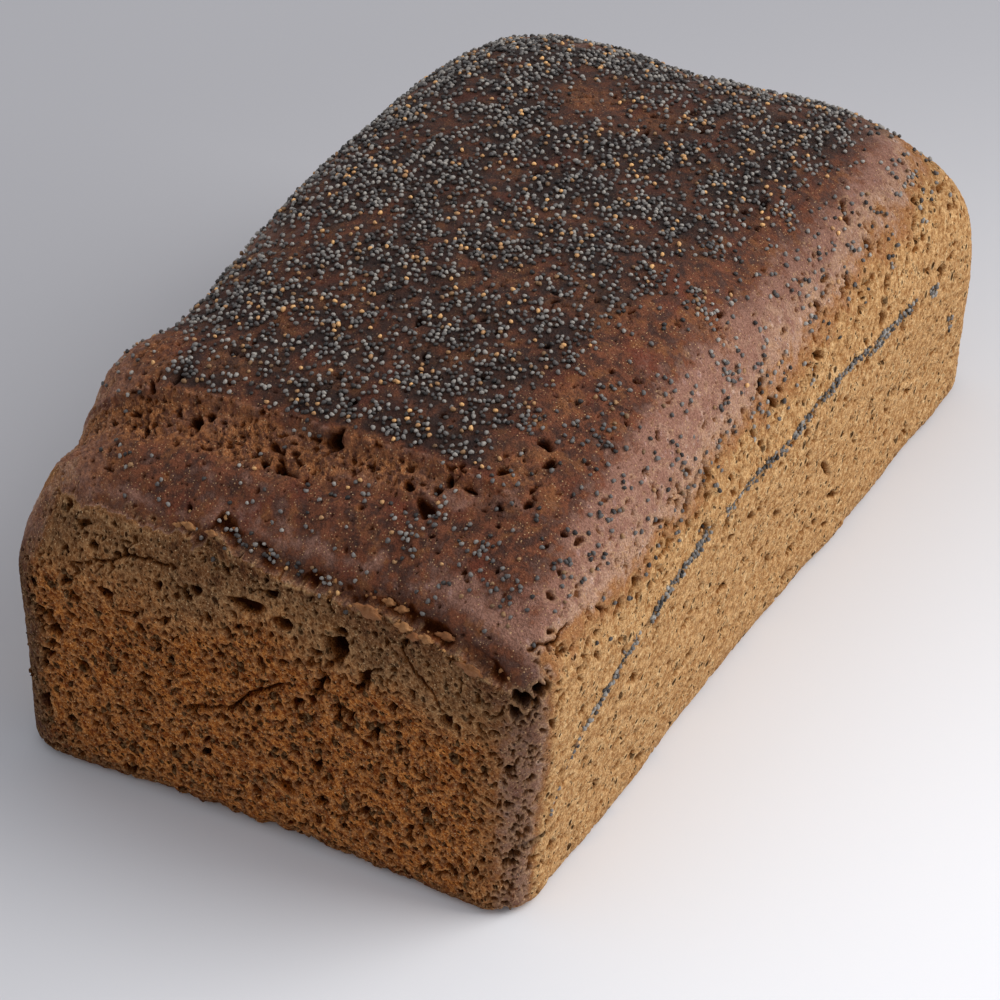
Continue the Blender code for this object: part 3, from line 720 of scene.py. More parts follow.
    def raise_skin(self) -> None:
        """Adds the low relief of crown, walls and torn crust, and the lip."""
        x, y, z = self.points.T
        torn = self.zones["torn"]
        crown = self.crown
        walls = 1 - smooth_step(self.marks["bake"], 0.4, 0.9)
        height = crown * (0.34 * self.noise(0, 7.0) + 0.20 * self.noise(1, 2.6) + 0.14 * self.noise(2, 1.0))
        height += walls * (0.10 * self.noise(3, (2.4, 2.4, 3.4)) + 0.12 * self.noise(4, 0.9))
        rough = smooth_step(z, 46.0, 54.0) * (1 - smooth_step(z, 62.0, 70.0))
        rough *= smooth_step(-self.normals[:, 1], 0.3, 0.6)
        height += rough * (0.38 * self.noise(5, 3.0) + 0.22 * self.noise(6, 1.5))
        fibres = self.grains[5].ridges(self.points, (1.3, 2.6, 2.0))
        fibres += 0.7 * self.grains[6].ridges(self.points, 1.1)
        height += torn * (0.55 * fibres - 0.5 + 0.45 * self.noise(7, 3.0) + 0.25 * self.noise(8, 1.2))
        self.shift += self.normals * height[:, None]
        self.shift[:, 0] += self.foot(x, y, z)
        end = smooth_step(-self.normals[:, 0], 0.35, 0.7)
        lipped = self.lip.strength(y) * end
        push = self.lip.profile(self.above_lip) * lipped
        self.shift[:, 0] -= push * (1 + 0.25 * self.noise(8, 3.0))
        # A pale crest along the lip: partly pale crumbs, partly a painted highlight.
        crest = bump(self.above_lip + 0.25, 0.40) * lipped * smooth_step(self.noise(11, 2.2), -0.1, 0.4)
        self.marks["rim"] = np.maximum(self.marks["rim"], crest)
        behind = smooth_step(self.above_lip, 0.0, 0.35) * (1 - smooth_step(self.above_lip, 0.8, 3.2))
        self.groove = behind * lipped
        ledge = smooth_step(self.above_lip, -0.1, 0.1) * (1 - smooth_step(self.above_lip, 0.5, 2.6)) * lipped
        self.marks["torn"] = np.maximum(self.marks["torn"], 0.55 * ledge)
        charred = 0.68 * ledge * smooth_step(self.noise(10, 2.6), -0.6, 0.1)
        self.marks["scorch"] = np.maximum(self.marks["scorch"], charred)
        # Painted shade in patches along the groove behind the lip.
        patchy = smooth_step(self.noise(8, 4.5) + 0.5 * self.noise(9, 1.7), -0.15, 0.45)
        self.marks["hollow"] = np.maximum(self.marks["hollow"], 0.85 * self.groove * patchy)
        seam = self.form.seam_height(x) + 0.7 * self.noise(9, 12.0) + 0.5 * self.noise(10, 5.0)
        side = smooth_step(-self.normals[:, 1], 0.5, 0.8)
        off_seam = z - seam
        drawn = np.maximum.reduce([1 - smooth_step(x, 61.0, 64.0), bump(x - 70.2, 2.2), bump(x - 80.8, 2.0)])
        self.seam_line = side * bump(off_seam, 1.1 + 1.0 * self.clumps)
        smear = 0.75 * side * drawn * bump(off_seam, 1.2 + self.clumps)
        smear *= smooth_step(self.noise(11, 8.0), -0.35, 0.1)
        self.marks["soot"] = np.maximum(self.marks["soot"], smear)
        fold = 0.35 * bump(off_seam - 1.4, 1.8) - 0.55 * bump(off_seam, 0.8)
        self.shift += self.normals * (side * drawn * fold)[:, None]

    def foot(self, x: np.ndarray, y: np.ndarray, z: np.ndarray) -> np.ndarray:
        """Gives how far the near end draws in at its ragged bottom edge.

        Args:
            x: Places along the loaf.
            y: Places across it.
            z: Heights over the base.

        Returns:
            Distance inwards.
        """
        lane = np.column_stack((np.full(len(y), 8.3), y, np.zeros(len(y))))
        ragged = 1 + 0.45 * self.grains[3].at(lane, 9.0) + 0.45 * self.grains[2].at(lane, 3.0)
        ragged += 0.3 * self.grains[4].at(lane, 1.3)
        low = (1 - smooth_step(z, 0.0, 7.0)) * smooth_step(-x, 70.0, 95.0)
        return self.form.foot_draw * ragged * low * bump(y, 56.0)

    def cut_cracks(self) -> None:
        """Draws the cracks as narrow ragged grooves, with shade painted along them."""
        for face, half_width, depth, line in CRACKS:
            first, second, facing, sign = face.value
            inside = self.normals[:, facing] * sign > 0.4
            place = self.points[inside][:, (first, second)]
            place = place + 0.5 * np.column_stack((self.noise(10, 2.4)[inside], self.noise(11, 2.4)[inside]))
            nearest = np.full(len(place), 99.0)
            for start, end in itertools.pairwise(np.asarray(line, float)):
                run = end - start
                along = np.clip((place - start) @ run / (run @ run), 0.0, 1.0)
                nearest = np.minimum(nearest, np.linalg.norm(place - start - along[:, None] * run, axis=1))
            cut = bump(nearest, half_width * 1.5)
            self.shift[inside] -= self.normals[inside] * (depth * cut)[:, None]
            # Painted shade along the crack.
            dark = 0.9 * bump(nearest, half_width)
            self.marks["hollow"][inside] = np.maximum(self.marks["hollow"][inside], dark)

    def vertex_at(self, face: Face, first: float, second: float) -> int:
        """Finds the lattice point at a place on a face.

        Args:
            face: The face it lies on.
            first: Place along the face's first axis.
            second: Place along its second axis.

        Returns:
            Index of the nearest point.
        """
        axis_a, axis_b, facing, sign = face.value
        off = (self.points[:, axis_a] - first) ** 2 + (self.points[:, axis_b] - second) ** 2
        off[self.normals[:, facing] * sign < 0.3] = 1e9
        return int(np.argmin(off))

    def open_pores(self) -> None:
        """Stamps the named holes and the beds of small pores into the crust."""
        rng = np.random.default_rng(self.pore_seed)
        tree = kdtree.KDTree(len(self.points))
        for index, place in enumerate(self.points.tolist()):
            tree.insert(place, index)
        tree.balance()
        for face, pits in ((Face.TOP, CROWN_PITS), (Face.SIDE, SIDE_PITS), (Face.END, END_PITS)):
            for first, second, length, width, depth, turn in pits:
                self.stamp(tree, self.vertex_at(face, first, second), face, (length, width, depth, turn), rng)
        for bed in self.beds:
            weight = self.zones[bed.zone] * self.areas
            weight[weight < 0] = 0
            wanted = int(weight.sum() * bed.per_square)
            chosen = rng.choice(len(weight), size=wanted, p=weight / weight.sum())
            for index in chosen:
                length = bed.length * math.exp(rng.normal(0.0, bed.spread))
                width = length * bed.slimness * rng.uniform(0.75, 1.3)
                depth = width * bed.depth * rng.uniform(0.7, 1.4)
                turn = bed.turn + rng.normal(0.0, bed.scatter)
                self.stamp(tree, int(index), bed.face, (length, width, depth, turn), rng)

    def stamp(
        self,
        tree: kdtree.KDTree,
        index: int,
        face: Face,
        sizes: tuple[float, float, float, float],
        rng: np.random.Generator,
    ) -> None:
        """Presses one hole into the crust, paints shade into it and, off the crown, a pale rim round it that is
        partly a painted highlight.

        Args:
            tree: All points, for finding those near the hole.
            index: The point in the middle of the hole.
            face: The face whose axes the turn is measured in.
            sizes: Length, width, depth and turn in degrees.
            rng: Draws the ragged outline.
        """
        length, width, depth, turn = sizes
        first, second, _, _ = face.value
        middle, normal = self.points[index], self.normals[index]
        along = np.zeros(3)
        along[first], along[second] = math.cos(math.radians(turn)), math.sin(math.radians(turn))
        along -= normal * (along @ normal)
        along /= np.linalg.norm(along)
        across = np.cross(normal, along)
        near = [found[1] for found in tree.find_range(middle.tolist(), 0.75 * length + 0.3)]
        offset = self.points[near] - middle
        u, v = offset @ along * 2 / length, offset @ across * 2 / width
        angle = np.arctan2(v, u)
        turns = rng.uniform(0, 2 * math.pi, 3)
        ragged = 0.16 * np.sin(2 * angle + turns[0]) + 0.13 * np.sin(3 * angle + turns[1])
        ragged += 0.08 * np.sin(5 * angle + turns[2])
        reach = np.hypot(u, v) * (1 + ragged)
        hollow = 1 - smooth_step(reach, 0.50, 1.05)
        self.shift[near] -= normal * (depth * hollow)[:, None]
        # Painted shade inside the hole, darker the deeper it is.
        dark = (1 - smooth_step(reach, 0.45, 1.0)) * min(1.0, 0.24 + 0.42 * depth)
        self.marks["hollow"][near] = np.maximum(self.marks["hollow"][near], dark)
        if face is not Face.TOP:
            # A pale rim round the hole, partly a painted highlight.
            ring = bump(reach - 1.2, 0.35)
            self.marks["rim"][near] = np.maximum(self.marks["rim"][near], 0.45 * ring)


@dataclass
class LoafCrust:
    """The loaf's crust: one lattice, shaped, thinned out and divided into closed pieces."""

    form: LoafForm
    lip: LipForm
    rows_along: int = 520
    rows_across: int = 430
    rows_up: int = 170
    quick_rows: tuple[int, int, int] = (260, 216, 70)
    kept_share: float = 0.50
    core: tuple[float, float, float] = (0.0, 0.0, 26.0)
    relief: Relief = field(init=False)

    def lattice(self) -> bpy.types.Mesh:
        """Cuts a unit cube into rows along each axis.

        Returns:
            A mesh of four-sided faces.
        """
        mesh = bmesh.new()
        bmesh.ops.create_cube(mesh, size=1.0)
        bmesh.ops.translate(mesh, verts=mesh.verts, vec=(0.5, 0.5, 0.5))
        for axis, rows in ((2, self.rows_up), (0, self.rows_along), (1, self.rows_across)):
            edges = [edge for edge in mesh.edges if abs(edge.verts[0].co[axis] - edge.verts[1].co[axis]) > 0.5]
            bmesh.ops.subdivide_edges(mesh, edges=edges, cuts=rows - 1, use_grid_fill=True)
        data = bpy.data.meshes.new("crust_lattice")
        mesh.to_mesh(data)
        mesh.free()
        return data

    def rows_of(self, data: bpy.types.Mesh) -> np.ndarray:
        """Reads which row each lattice point lies in along each axis.

        Args:
            data: The cut cube.

        Returns:
            Row numbers, three for each point.
        """
        places = np.empty(len(data.vertices) * 3, np.float32)
        data.vertices.foreach_get("co", places)
        rows = (self.rows_along, self.rows_across, self.rows_up)
        return np.rint(places.reshape(-1, 3) * rows).astype(int)

    def shape(self, rows: np.ndarray) -> np.ndarray:
        """Moves the lattice to the loaf's smooth form.

        Args:
            rows: Row numbers of each point.

        Returns:
            Points in millimetres.
        """
        form = self.form
        along = form.stations(form.length / 2, (form.shoulder_near, form.shoulder_far), self.rows_along)
        across = form.stations(form.width / 2, (form.shoulder_right, form.shoulder_left), self.rows_across)
        x, y = along[rows[:, 0]], across[rows[:, 1]]
        share = rows[:, 2] / self.rows_up
        top = rows[:, 2] == self.rows_up
        points = np.empty((len(rows), 3))
        points[top] = form.crown_points(x[top], y[top])
        points[~top] = form.wall_points(x[~top], y[~top], share[~top])
        return points

    def divide(self, data: bpy.types.Mesh, rows: np.ndarray) -> None:
        """Marks which piece each face belongs to, as its material number.

        Args:
            data: The lattice mesh.
            rows: Row numbers of each point.
        """
        corners = np.empty(len(data.loops), np.int32)
        data.loops.foreach_get("vertex_index", corners)
        middle = rows[corners.reshape(-1, 4)].mean(axis=1)
        order = list(Region)
        region = np.full(len(middle), order.index(Region.CROWN_NEAR), np.int32)
        region[middle[:, 0] > 0.52 * self.rows_along] = order.index(Region.CROWN_FAR)
        below = middle[:, 2] < self.rows_up
        region[below & (middle[:, 0] == 0)] = order.index(Region.END)
        region[below & (middle[:, 0] == self.rows_along)] = order.index(Region.FAR_END)
        region[below & (middle[:, 1] == 0)] = order.index(Region.SIDE)
        region[below & (middle[:, 1] == self.rows_across)] = order.index(Region.HIDDEN_SIDE)
        region[middle[:, 2] == 0] = order.index(Region.BASE)
        data.polygons.foreach_set("material_index", region)

    def write_points(self, data: bpy.types.Mesh, points: np.ndarray) -> None:
        """Writes millimetre points to a mesh in metres."""
        data.vertices.foreach_set("co", (points * MM).astype(np.float32).ravel())
        data.update()

    def smooth_normals(self, data: bpy.types.Mesh) -> np.ndarray:
        """Reads a mesh's vertex normals, one a row.

        Args:
            data: The lattice mesh.

        Returns:
            Unit normals, one a row.
        """
        normals = np.empty(len(data.vertices) * 3, np.float32)
        data.vertex_normals.foreach_get("vector", normals)
        return normals.reshape(-1, 3).astype(float)

    def point_areas(self, data: bpy.types.Mesh) -> np.ndarray:
        """Shares each face's area between its corners.

        Args:
            data: The lattice mesh.

        Returns:
            Area at each point, in square millimetres.
        """
        areas = np.empty(len(data.polygons), np.float32)
        data.polygons.foreach_get("area", areas)
        corners = np.empty(len(data.loops), np.int32)
        data.loops.foreach_get("vertex_index", corners)
        share = np.repeat(areas / 4.0 / MM**2, 4)
        return np.bincount(corners, weights=share, minlength=len(data.vertices))

    def store(self, data: bpy.types.Mesh, marks: dict[str, np.ndarray]) -> None:
        """Stores the marks and the finished normals as attributes of the points.

        Args:
            data: The finished lattice mesh.
            marks: Marks by name, from 0 to 1.
        """
        for name, parts in CrustFinish.MARKS.items():
            layer = data.color_attributes.new(name, "FLOAT_COLOR", "POINT")
            colours = np.column_stack([np.clip(marks[part], 0, 1) for part in parts])
            layer.data.foreach_set("color", colours.astype(np.float32).ravel())
        layer = data.attributes.new("skin_normal", "FLOAT_VECTOR", "POINT")
        layer.data.foreach_set("vector", self.smooth_normals(data).astype(np.float32).ravel())

    def thinned(self, data: bpy.types.Mesh) -> bpy.types.Object:
        """Takes out the faces that flat crust has no need of.

        Args:
            data: The finished lattice mesh.

        Returns:
            An object with the thinned mesh.
        """
        item = bpy.data.objects.new("crust_whole", data)
        bpy.context.scene.collection.objects.link(item)
        modifier = item.modifiers.new("thin out", "DECIMATE")
        modifier.ratio = self.kept_share
        graph = bpy.context.evaluated_depsgraph_get()
        item.data = bpy.data.meshes.new_from_object(item.evaluated_get(graph))
        item.modifiers.clear()
        bpy.data.meshes.remove(data)
        return item

    def split(self, whole: bpy.types.Object) -> list[bpy.types.Object]:
        """Separates the whole crust into its pieces along their shared edges.

        Args:
            whole: The thinned crust.

        Returns:
            The pieces, still open.
        """
        bpy.ops.object.select_all(action="DESELECT")
        whole.select_set(True)
        bpy.context.view_layer.objects.active = whole
        bpy.ops.object.mode_set(mode="EDIT")
        bpy.ops.mesh.separate(type="MATERIAL")
        bpy.ops.object.mode_set(mode="OBJECT")
        return list(bpy.context.selected_objects)

    def close(self, piece: bpy.types.Object) -> None:
        """Closes a piece with plane walls that run in to the core of the loaf.

        Args:
            piece: One open piece.
        """
        mesh = bmesh.new()
        mesh.from_mesh(piece.data)
        rims = [edge for edge in mesh.edges if edge.is_boundary]
        made = bmesh.ops.extrude_edge_only(mesh, edges=rims)["geom"]
        inner = [part for part in made if isinstance(part, bmesh.types.BMVert)]
        bmesh.ops.pointmerge(mesh, verts=inner, merge_co=Vector(self.core) * MM)
        bmesh.ops.recalc_face_normals(mesh, faces=mesh.faces[:])
        mesh.to_mesh(piece.data)
        mesh.free()
        layer = piece.data.attributes["skin_normal"]
        normals = np.empty(len(piece.data.vertices) * 3, np.float32)
        layer.data.foreach_get("vector", normals)
        piece.data.shade_smooth()
        piece.data.normals_split_custom_set_from_vertices(normals.reshape(-1, 3).tolist())
        piece.data.attributes.remove(piece.data.attributes["skin_normal"])

    def build(self, finish: bpy.types.Material) -> None:
        """Makes all pieces of the crust.

        Args:
            finish: The material that all of them share.
        """
        data = self.lattice()
        rows = self.rows_of(data)
        self.divide(data, rows)
        points = self.shape(rows)
        self.write_points(data, points)
        self.relief = Relief(self.form, self.lip, points, self.smooth_normals(data), self.point_areas(data))
        self.relief.raise_skin()
        self.relief.cut_cracks()
        self.relief.open_pores()
        shaped = points + self.relief.shift
        shaped[:, 2] = np.maximum(shaped[:, 2], 0.0)
        self.relief.points = shaped
        self.write_points(data, shaped)
        self.store(data, self.relief.marks)
        regions = list(Region)
        for _ in regions:
            data.materials.append(finish)
        for piece in self.split(self.thinned(data)):
            middle = np.array([corner[:] for corner in piece.bound_box]).mean(axis=0) / MM
            region = self.region_of(middle)
            piece.name = region.value[0]
            piece.data.name = piece.name
            self.close(piece)
            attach(piece, "root")
            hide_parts("loaf")
            LOG.info("%s: %d faces", piece.name, len(piece.data.polygons))

    def region_of(self, middle: np.ndarray) -> Region:
        """Tells which piece this is by the middle of its box.

        Args:
            middle: Middle of the box, in millimetres.

        Returns:
            The piece's region.
        """
        x, y, z = middle
        if z < 5.0:
            return Region.BASE
        if z > 40.0 or (abs(x) < 60.0 and abs(y) < 20.0):
            return Region.CROWN_NEAR if x < 0 else Region.CROWN_FAR
        if abs(x) > 60.0:
            return Region.END if x < 0 else Region.FAR_END
        return Region.SIDE if y < 0 else Region.HIDDEN_SIDE


class SeedKind(Enum):
    """The kinds of poppy seed: piece name, slot, colour, and share of all seeds."""

    SLATE = ("poppy_seeds_slate", "poppy_slate", (131, 127, 122), 0.68)
    DARK = ("poppy_seeds_dark", "poppy_dark", (58, 53, 50), 0.22)
    TAN = ("poppy_seeds_tan", "poppy_tan", (196, 148, 98), 0.10)


@dataclass(frozen=True)
class PoppySeeds:
    """Poppy seeds over the crown and along the seam, sizes in millimetres."""

    length: float = 0.98
    waist: float = 0.79
    spread: float = 0.09
    gap: float = 0.76
    crown_count: int = 7000
    seam_count: int = 620
    seam_draws: int = 6000
    draws: int = 160000
    seam_runs: tuple[tuple[float, float], ...] = (
        (-87, -84.5), (-83.2, -77.6), (-76.6, -57.4), (-52.5, -28.8), (-22.3, -9.6), (-7.5, 29.5), (31, 62),
        (68.5, 72), (79.5, 82),
    )
    # Loose drifts outside the seeded field: place in plan and reach.
    patches: tuple[tuple[float, float, float], ...] = (
        (-81, -24, 5), (-76, -27, 5), (-79, -39, 4), (-85, -45, 5), (-77, -11, 4), (-54, -33, 4), (-37, -33, 4),
        (-49, -45, 4), (-38, -42, 5), (12, -36, 7), (33, -39, 6), (-5, -41, 6), (52, -34, 5), (-12, -52, 4),
        (-60, -52, 4), (-75, -52, 4),
    )
    seed: int = 1908

    def thickness(self, relief: Relief) -> np.ndarray:
        """Works out how thickly seeds lie over the crust.

        Args:
            relief: The finished relief.

        Returns:
            Seeds wanted at each point, relative to the thickest.
        """
        x, y, z = relief.points.T
        field_share = relief.seeded * (0.16 + 0.84 * relief.clumps**1.4)
        upper = smooth_step(z, 56.0, 66.0) * relief.crown
        patch = np.zeros(len(x))
        for middle_x, middle_y, reach in self.patches:
            patch = np.maximum(patch, 0.7 * bump(np.hypot(x - middle_x, y - middle_y), reach))
        loose = 0.05 * upper * (0.3 + 1.6 * relief.clumps)
        groove = 0.5 * relief.groove * bump(y + 1.0, 24.0)
        lower = 0.16 * smooth_step(-relief.normals[:, 1], 0.2, 0.6) * smooth_step(z, 50.0, 58.0)
        lower = lower * smooth_step(x, -88.0, -70.0) * relief.clumps
        thickest = np.maximum.reduce([field_share, patch * upper, loose, groove, lower])
        return thickest * (1 - 0.85 * relief.zones["torn"])

    def scatter(self, relief: Relief) -> list[int]:
        """Chooses the points that seeds lie at, none closer than the gap.

        Args:
            relief: The finished relief.

        Returns:
            Indices of lattice points.
        """
        rng = np.random.default_rng(self.seed)
        weight = self.thickness(relief) * relief.areas
        drawn = rng.choice(len(weight), size=self.draws, p=weight / weight.sum())
        crown = self.spaced(relief, drawn, self.crown_count)
        x = relief.points[:, 0]
        on_run = np.zeros(len(x), bool)
        for start, end in self.seam_runs:
            on_run |= (x > start) & (x < end)
        weight = relief.seam_line * relief.areas * on_run * (0.25 + relief.clumps)
        drawn = rng.choice(len(weight), size=self.seam_draws, p=weight / weight.sum())
        return crown + self.spaced(relief, drawn, self.seam_count)

    def spaced(self, relief: Relief, drawn: np.ndarray, wanted: int) -> list[int]:
        """Keeps the drawn places that aren't too close to one already kept.

        Args:
            relief: The finished relief.
            drawn: Indices of lattice points in the order drawn.
            wanted: How many to keep at most.

        Returns:
            Indices that are kept.
        """
        kept: list[int] = []
        cells: dict[tuple[int, ...], list[np.ndarray]] = {}
        steps = list(itertools.product((-1, 0, 1), repeat=3))
        for index in drawn.tolist():
            place = relief.points[index]
            cell = tuple(np.floor(place / self.gap).astype(int).tolist())
            around = (tuple(a + b for a, b in zip(cell, step)) for step in steps)
            close = (other for place in around for other in cells.get(place, ()))
            if any(((place - other) ** 2).sum() < self.gap**2 for other in close):
                continue
            cells.setdefault(cell, []).append(place)
            kept.append(index)
            if len(kept) >= wanted:
                break
        return kept

    def seed_shape(self) -> tuple[np.ndarray, list[tuple[int, ...]]]:
        """Makes one kidney-shaped seed of a few dozen faces.

        Returns:
            Its corners in millimetres, and the corners of each face.
        """
        mesh = bmesh.new()
        bmesh.ops.create_uvsphere(mesh, u_segments=6, v_segments=4, radius=0.5)
        bmesh.ops.rotate(mesh, verts=mesh.verts, matrix=Matrix.Rotation(math.pi / 2, 3, "Y"))
        bmesh.ops.scale(mesh, verts=mesh.verts, vec=(self.length, self.waist, self.waist * 0.94))
        for vertex in mesh.verts:
            vertex.co.y += 0.16 * (1 - (2 * vertex.co.x / self.length) ** 2)
        corners = np.array([vertex.co[:] for vertex in mesh.verts])
        faces = [tuple(vertex.index for vertex in face.verts) for face in mesh.faces]
        mesh.free()
        return corners, faces

    def build(self, relief: Relief) -> None:
        """Sows all seeds and joins those of each kind into one piece.

        Args:
            relief: The finished relief.
        """
        rng = np.random.default_rng(self.seed + 1)
        places = self.scatter(relief)
        seam = {place for place in places if relief.seam_line[place] > 0}
        kinds = rng.choice(len(SeedKind), size=len(places), p=[kind.value[3] for kind in SeedKind])
        shape, faces = self.seed_shape()
        x, y, _ = relief.points.T
        near_right = (1 - smooth_step(x, -50.0, -10.0)) * (1 - smooth_step(y, -46.0, -24.0))
        paleness = np.where(relief.seam_line > 0, 1.0, 1.0 - 0.6 * near_right)
        for number, kind in enumerate(SeedKind):
            chosen = [place for place, which in zip(places, kinds) if which == number]
            frames, tints = [], []
            for index in chosen:
                size = math.exp(rng.normal(0.0, self.spread))
                sunk = rng.uniform(0.02, 0.30) + (0.22 if index in seam else 0.0)
                normal = Vector(relief.normals[index])
                lean = normal + 0.35 * Vector(rng.normal(size=3))
                spin = Matrix.Rotation(rng.uniform(0, 6.283), 3, "Z")
                turned = lean.to_track_quat("Z", "Y").to_matrix() @ spin
                centre = relief.points[index] + relief.normals[index] * self.waist * size * (0.5 - sunk)
                frames.append((np.array(turned) * size, centre))
                tints.append(rng.uniform(0, 1) * paleness[index])
            piece = joined_copies(kind.value[0], shape, faces, frames, tints)
            piece.data.materials.append(SeedFinish(kind).material())
            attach(piece, "root")
            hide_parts("loaf")
            LOG.info("%s: %d seeds, %d faces", piece.name, len(chosen), len(piece.data.polygons))


def joined_copies(
    name: str,
    shape: np.ndarray,
    faces: list[tuple[int, ...]],
    frames: list[tuple[np.ndarray, np.ndarray]],
    tints: list[float],
) -> bpy.types.Object:
    """Joins turned copies of one small shape into a single piece.

    Args:
        name: Name of the piece.
        shape: Corners of the shape, in millimetres.
        faces: Corner numbers of its faces.
        frames: A turn and a place, in millimetres, for each copy.
        tints: A shade from 0 to 1 for each copy.

    Returns:
        The piece.
    """
    corners = np.concatenate([shape @ turn.T + place for turn, place in frames]) * MM
    count = len(shape)
    every = [tuple(corner + copy * count for corner in face) for copy in range(len(frames)) for face in faces]
    data = bpy.data.meshes.new(name)
    data.from_pydata(corners.tolist(), [], every)
    data.shade_smooth()
    layer = data.attributes.new("shade", "FLOAT", "POINT")
    layer.data.foreach_set("value", np.repeat(np.asarray(tints, np.float32), count))
    item = bpy.data.objects.new(name, data)
    bpy.context.scene.collection.objects.link(item)
    return item


@dataclass(frozen=True)
class LipFlakes:
    """Ragged flakes and crumbs that stand along the lip, sizes in millimetres."""

    crumbs: int = 46
    # Larger flakes: place across, height over the crest, length, height and thickness.
    flakes: tuple[tuple[float, float, float, float, float], ...] = (
        (-23.4, 0.9, 5.2, 3.4, 1.3),
        (-25.6, 0.5, 2.4, 1.8, 1.2),
        (-28.4, 0.3, 2.6, 1.6, 1.3),
        (-30.6, 0.4, 3.2, 2.0, 1.4),
        (-33.0, 0.2, 2.6, 1.5, 1.3),
        (-35.2, 0.3, 2.8, 1.9, 1.2),
        (-37.8, 0.3, 3.6, 2.0, 1.2),
        (-44.8, -0.2, 4.8, 3.2, 0.8),
        (11.0, 0.2, 2.4, 1.6, 0.9),
        (16.4, 0.4, 2.8, 2.0, 1.0),
        (18.6, 0.2, 2.0, 1.4, 0.9),
    )
    seed: int = 5

    def lump(self, rounds: int) -> tuple[np.ndarray, list[tuple[int, ...]]]:
        """Makes one rough lump of unit size.

        Args:
            rounds: How often its faces are divided: 80 faces for 2 and 320 for 3.

        Returns:
            Its corners, and the corners of each face.
        """
        mesh = bmesh.new()
        bmesh.ops.create_icosphere(mesh, subdivisions=rounds, radius=0.5)
        for vertex in mesh.verts:
            vertex.co *= 1 + 0.6 * noise.noise(vertex.co * 3.1) + 0.35 * noise.noise(vertex.co * 7.3)
        corners = np.array([vertex.co[:] for vertex in mesh.verts])
        faces = [tuple(vertex.index for vertex in face.verts) for face in mesh.faces]
        mesh.free()
        return corners, faces

    def build(self, relief: Relief, finish: bpy.types.Material) -> None:
        """Places the flakes and crumbs, one piece for each.

        Args:
            relief: The finished relief.
            finish: Material of the flakes.
        """
        rng = np.random.default_rng(self.seed)
        frames, tints = [], []
        end = np.flatnonzero((relief.normals[:, 0] < -0.4) & (np.abs(relief.above_lip) < 0.5))
        across = relief.points[end, 1]
        for y, over, length, tall, thick in self.flakes:
            place = relief.points[end[np.argmin(np.abs(across - y))]] + (-0.2, 0.0, over)
            tilt = np.array(Matrix.Rotation(rng.uniform(-0.3, 0.3), 3, "X") @ Matrix.Rotation(-0.25, 3, "Y"))
            frames.append((tilt @ np.diag((thick, length, tall)), place))
            tints.append(rng.uniform(0.5, 1.0))
        self.piece("lip_flakes", 3, frames, tints, finish)
        frames, tints = [], []
        above = relief.above_lip
        near = np.flatnonzero((relief.normals[:, 0] < -0.3) & (above > -0.6) & (above < 1.5))
        weight = relief.lip.strength(relief.points[near, 1]) * relief.areas[near]
        for index in rng.choice(near, size=self.crumbs, p=weight / weight.sum()):
            size = rng.uniform(0.3, 1.0)
            turned = np.array(Matrix.Rotation(rng.uniform(0, 6.28), 3, Vector(rng.normal(size=3))))
            frames.append((turned @ np.diag(size * rng.uniform(0.5, 1.2, 3)), relief.points[index]))
            tints.append(rng.uniform(0.0, 1.0))
        self.piece("lip_crumbs", 2, frames, tints, finish)

    def piece(
        self,
        name: str,
        rounds: int,
        frames: list[tuple[np.ndarray, np.ndarray]],
        tints: list[float],
        finish: bpy.types.Material,
    ) -> None:
        """Joins lumps into one piece of the loaf.

        Args:
            name: Name of the piece.
            rounds: How often the faces of a lump are divided.
            frames: A turn and a place for each lump.
            tints: A shade from 0 to 1 for each lump.
            finish: Material of the lumps.
        """
        item = joined_copies(name, *self.lump(rounds), frames, tints)
        item.data.materials.append(finish)
        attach(item, "root")
        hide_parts("loaf")
        LOG.info("%s: %d faces", item.name, len(item.data.polygons))


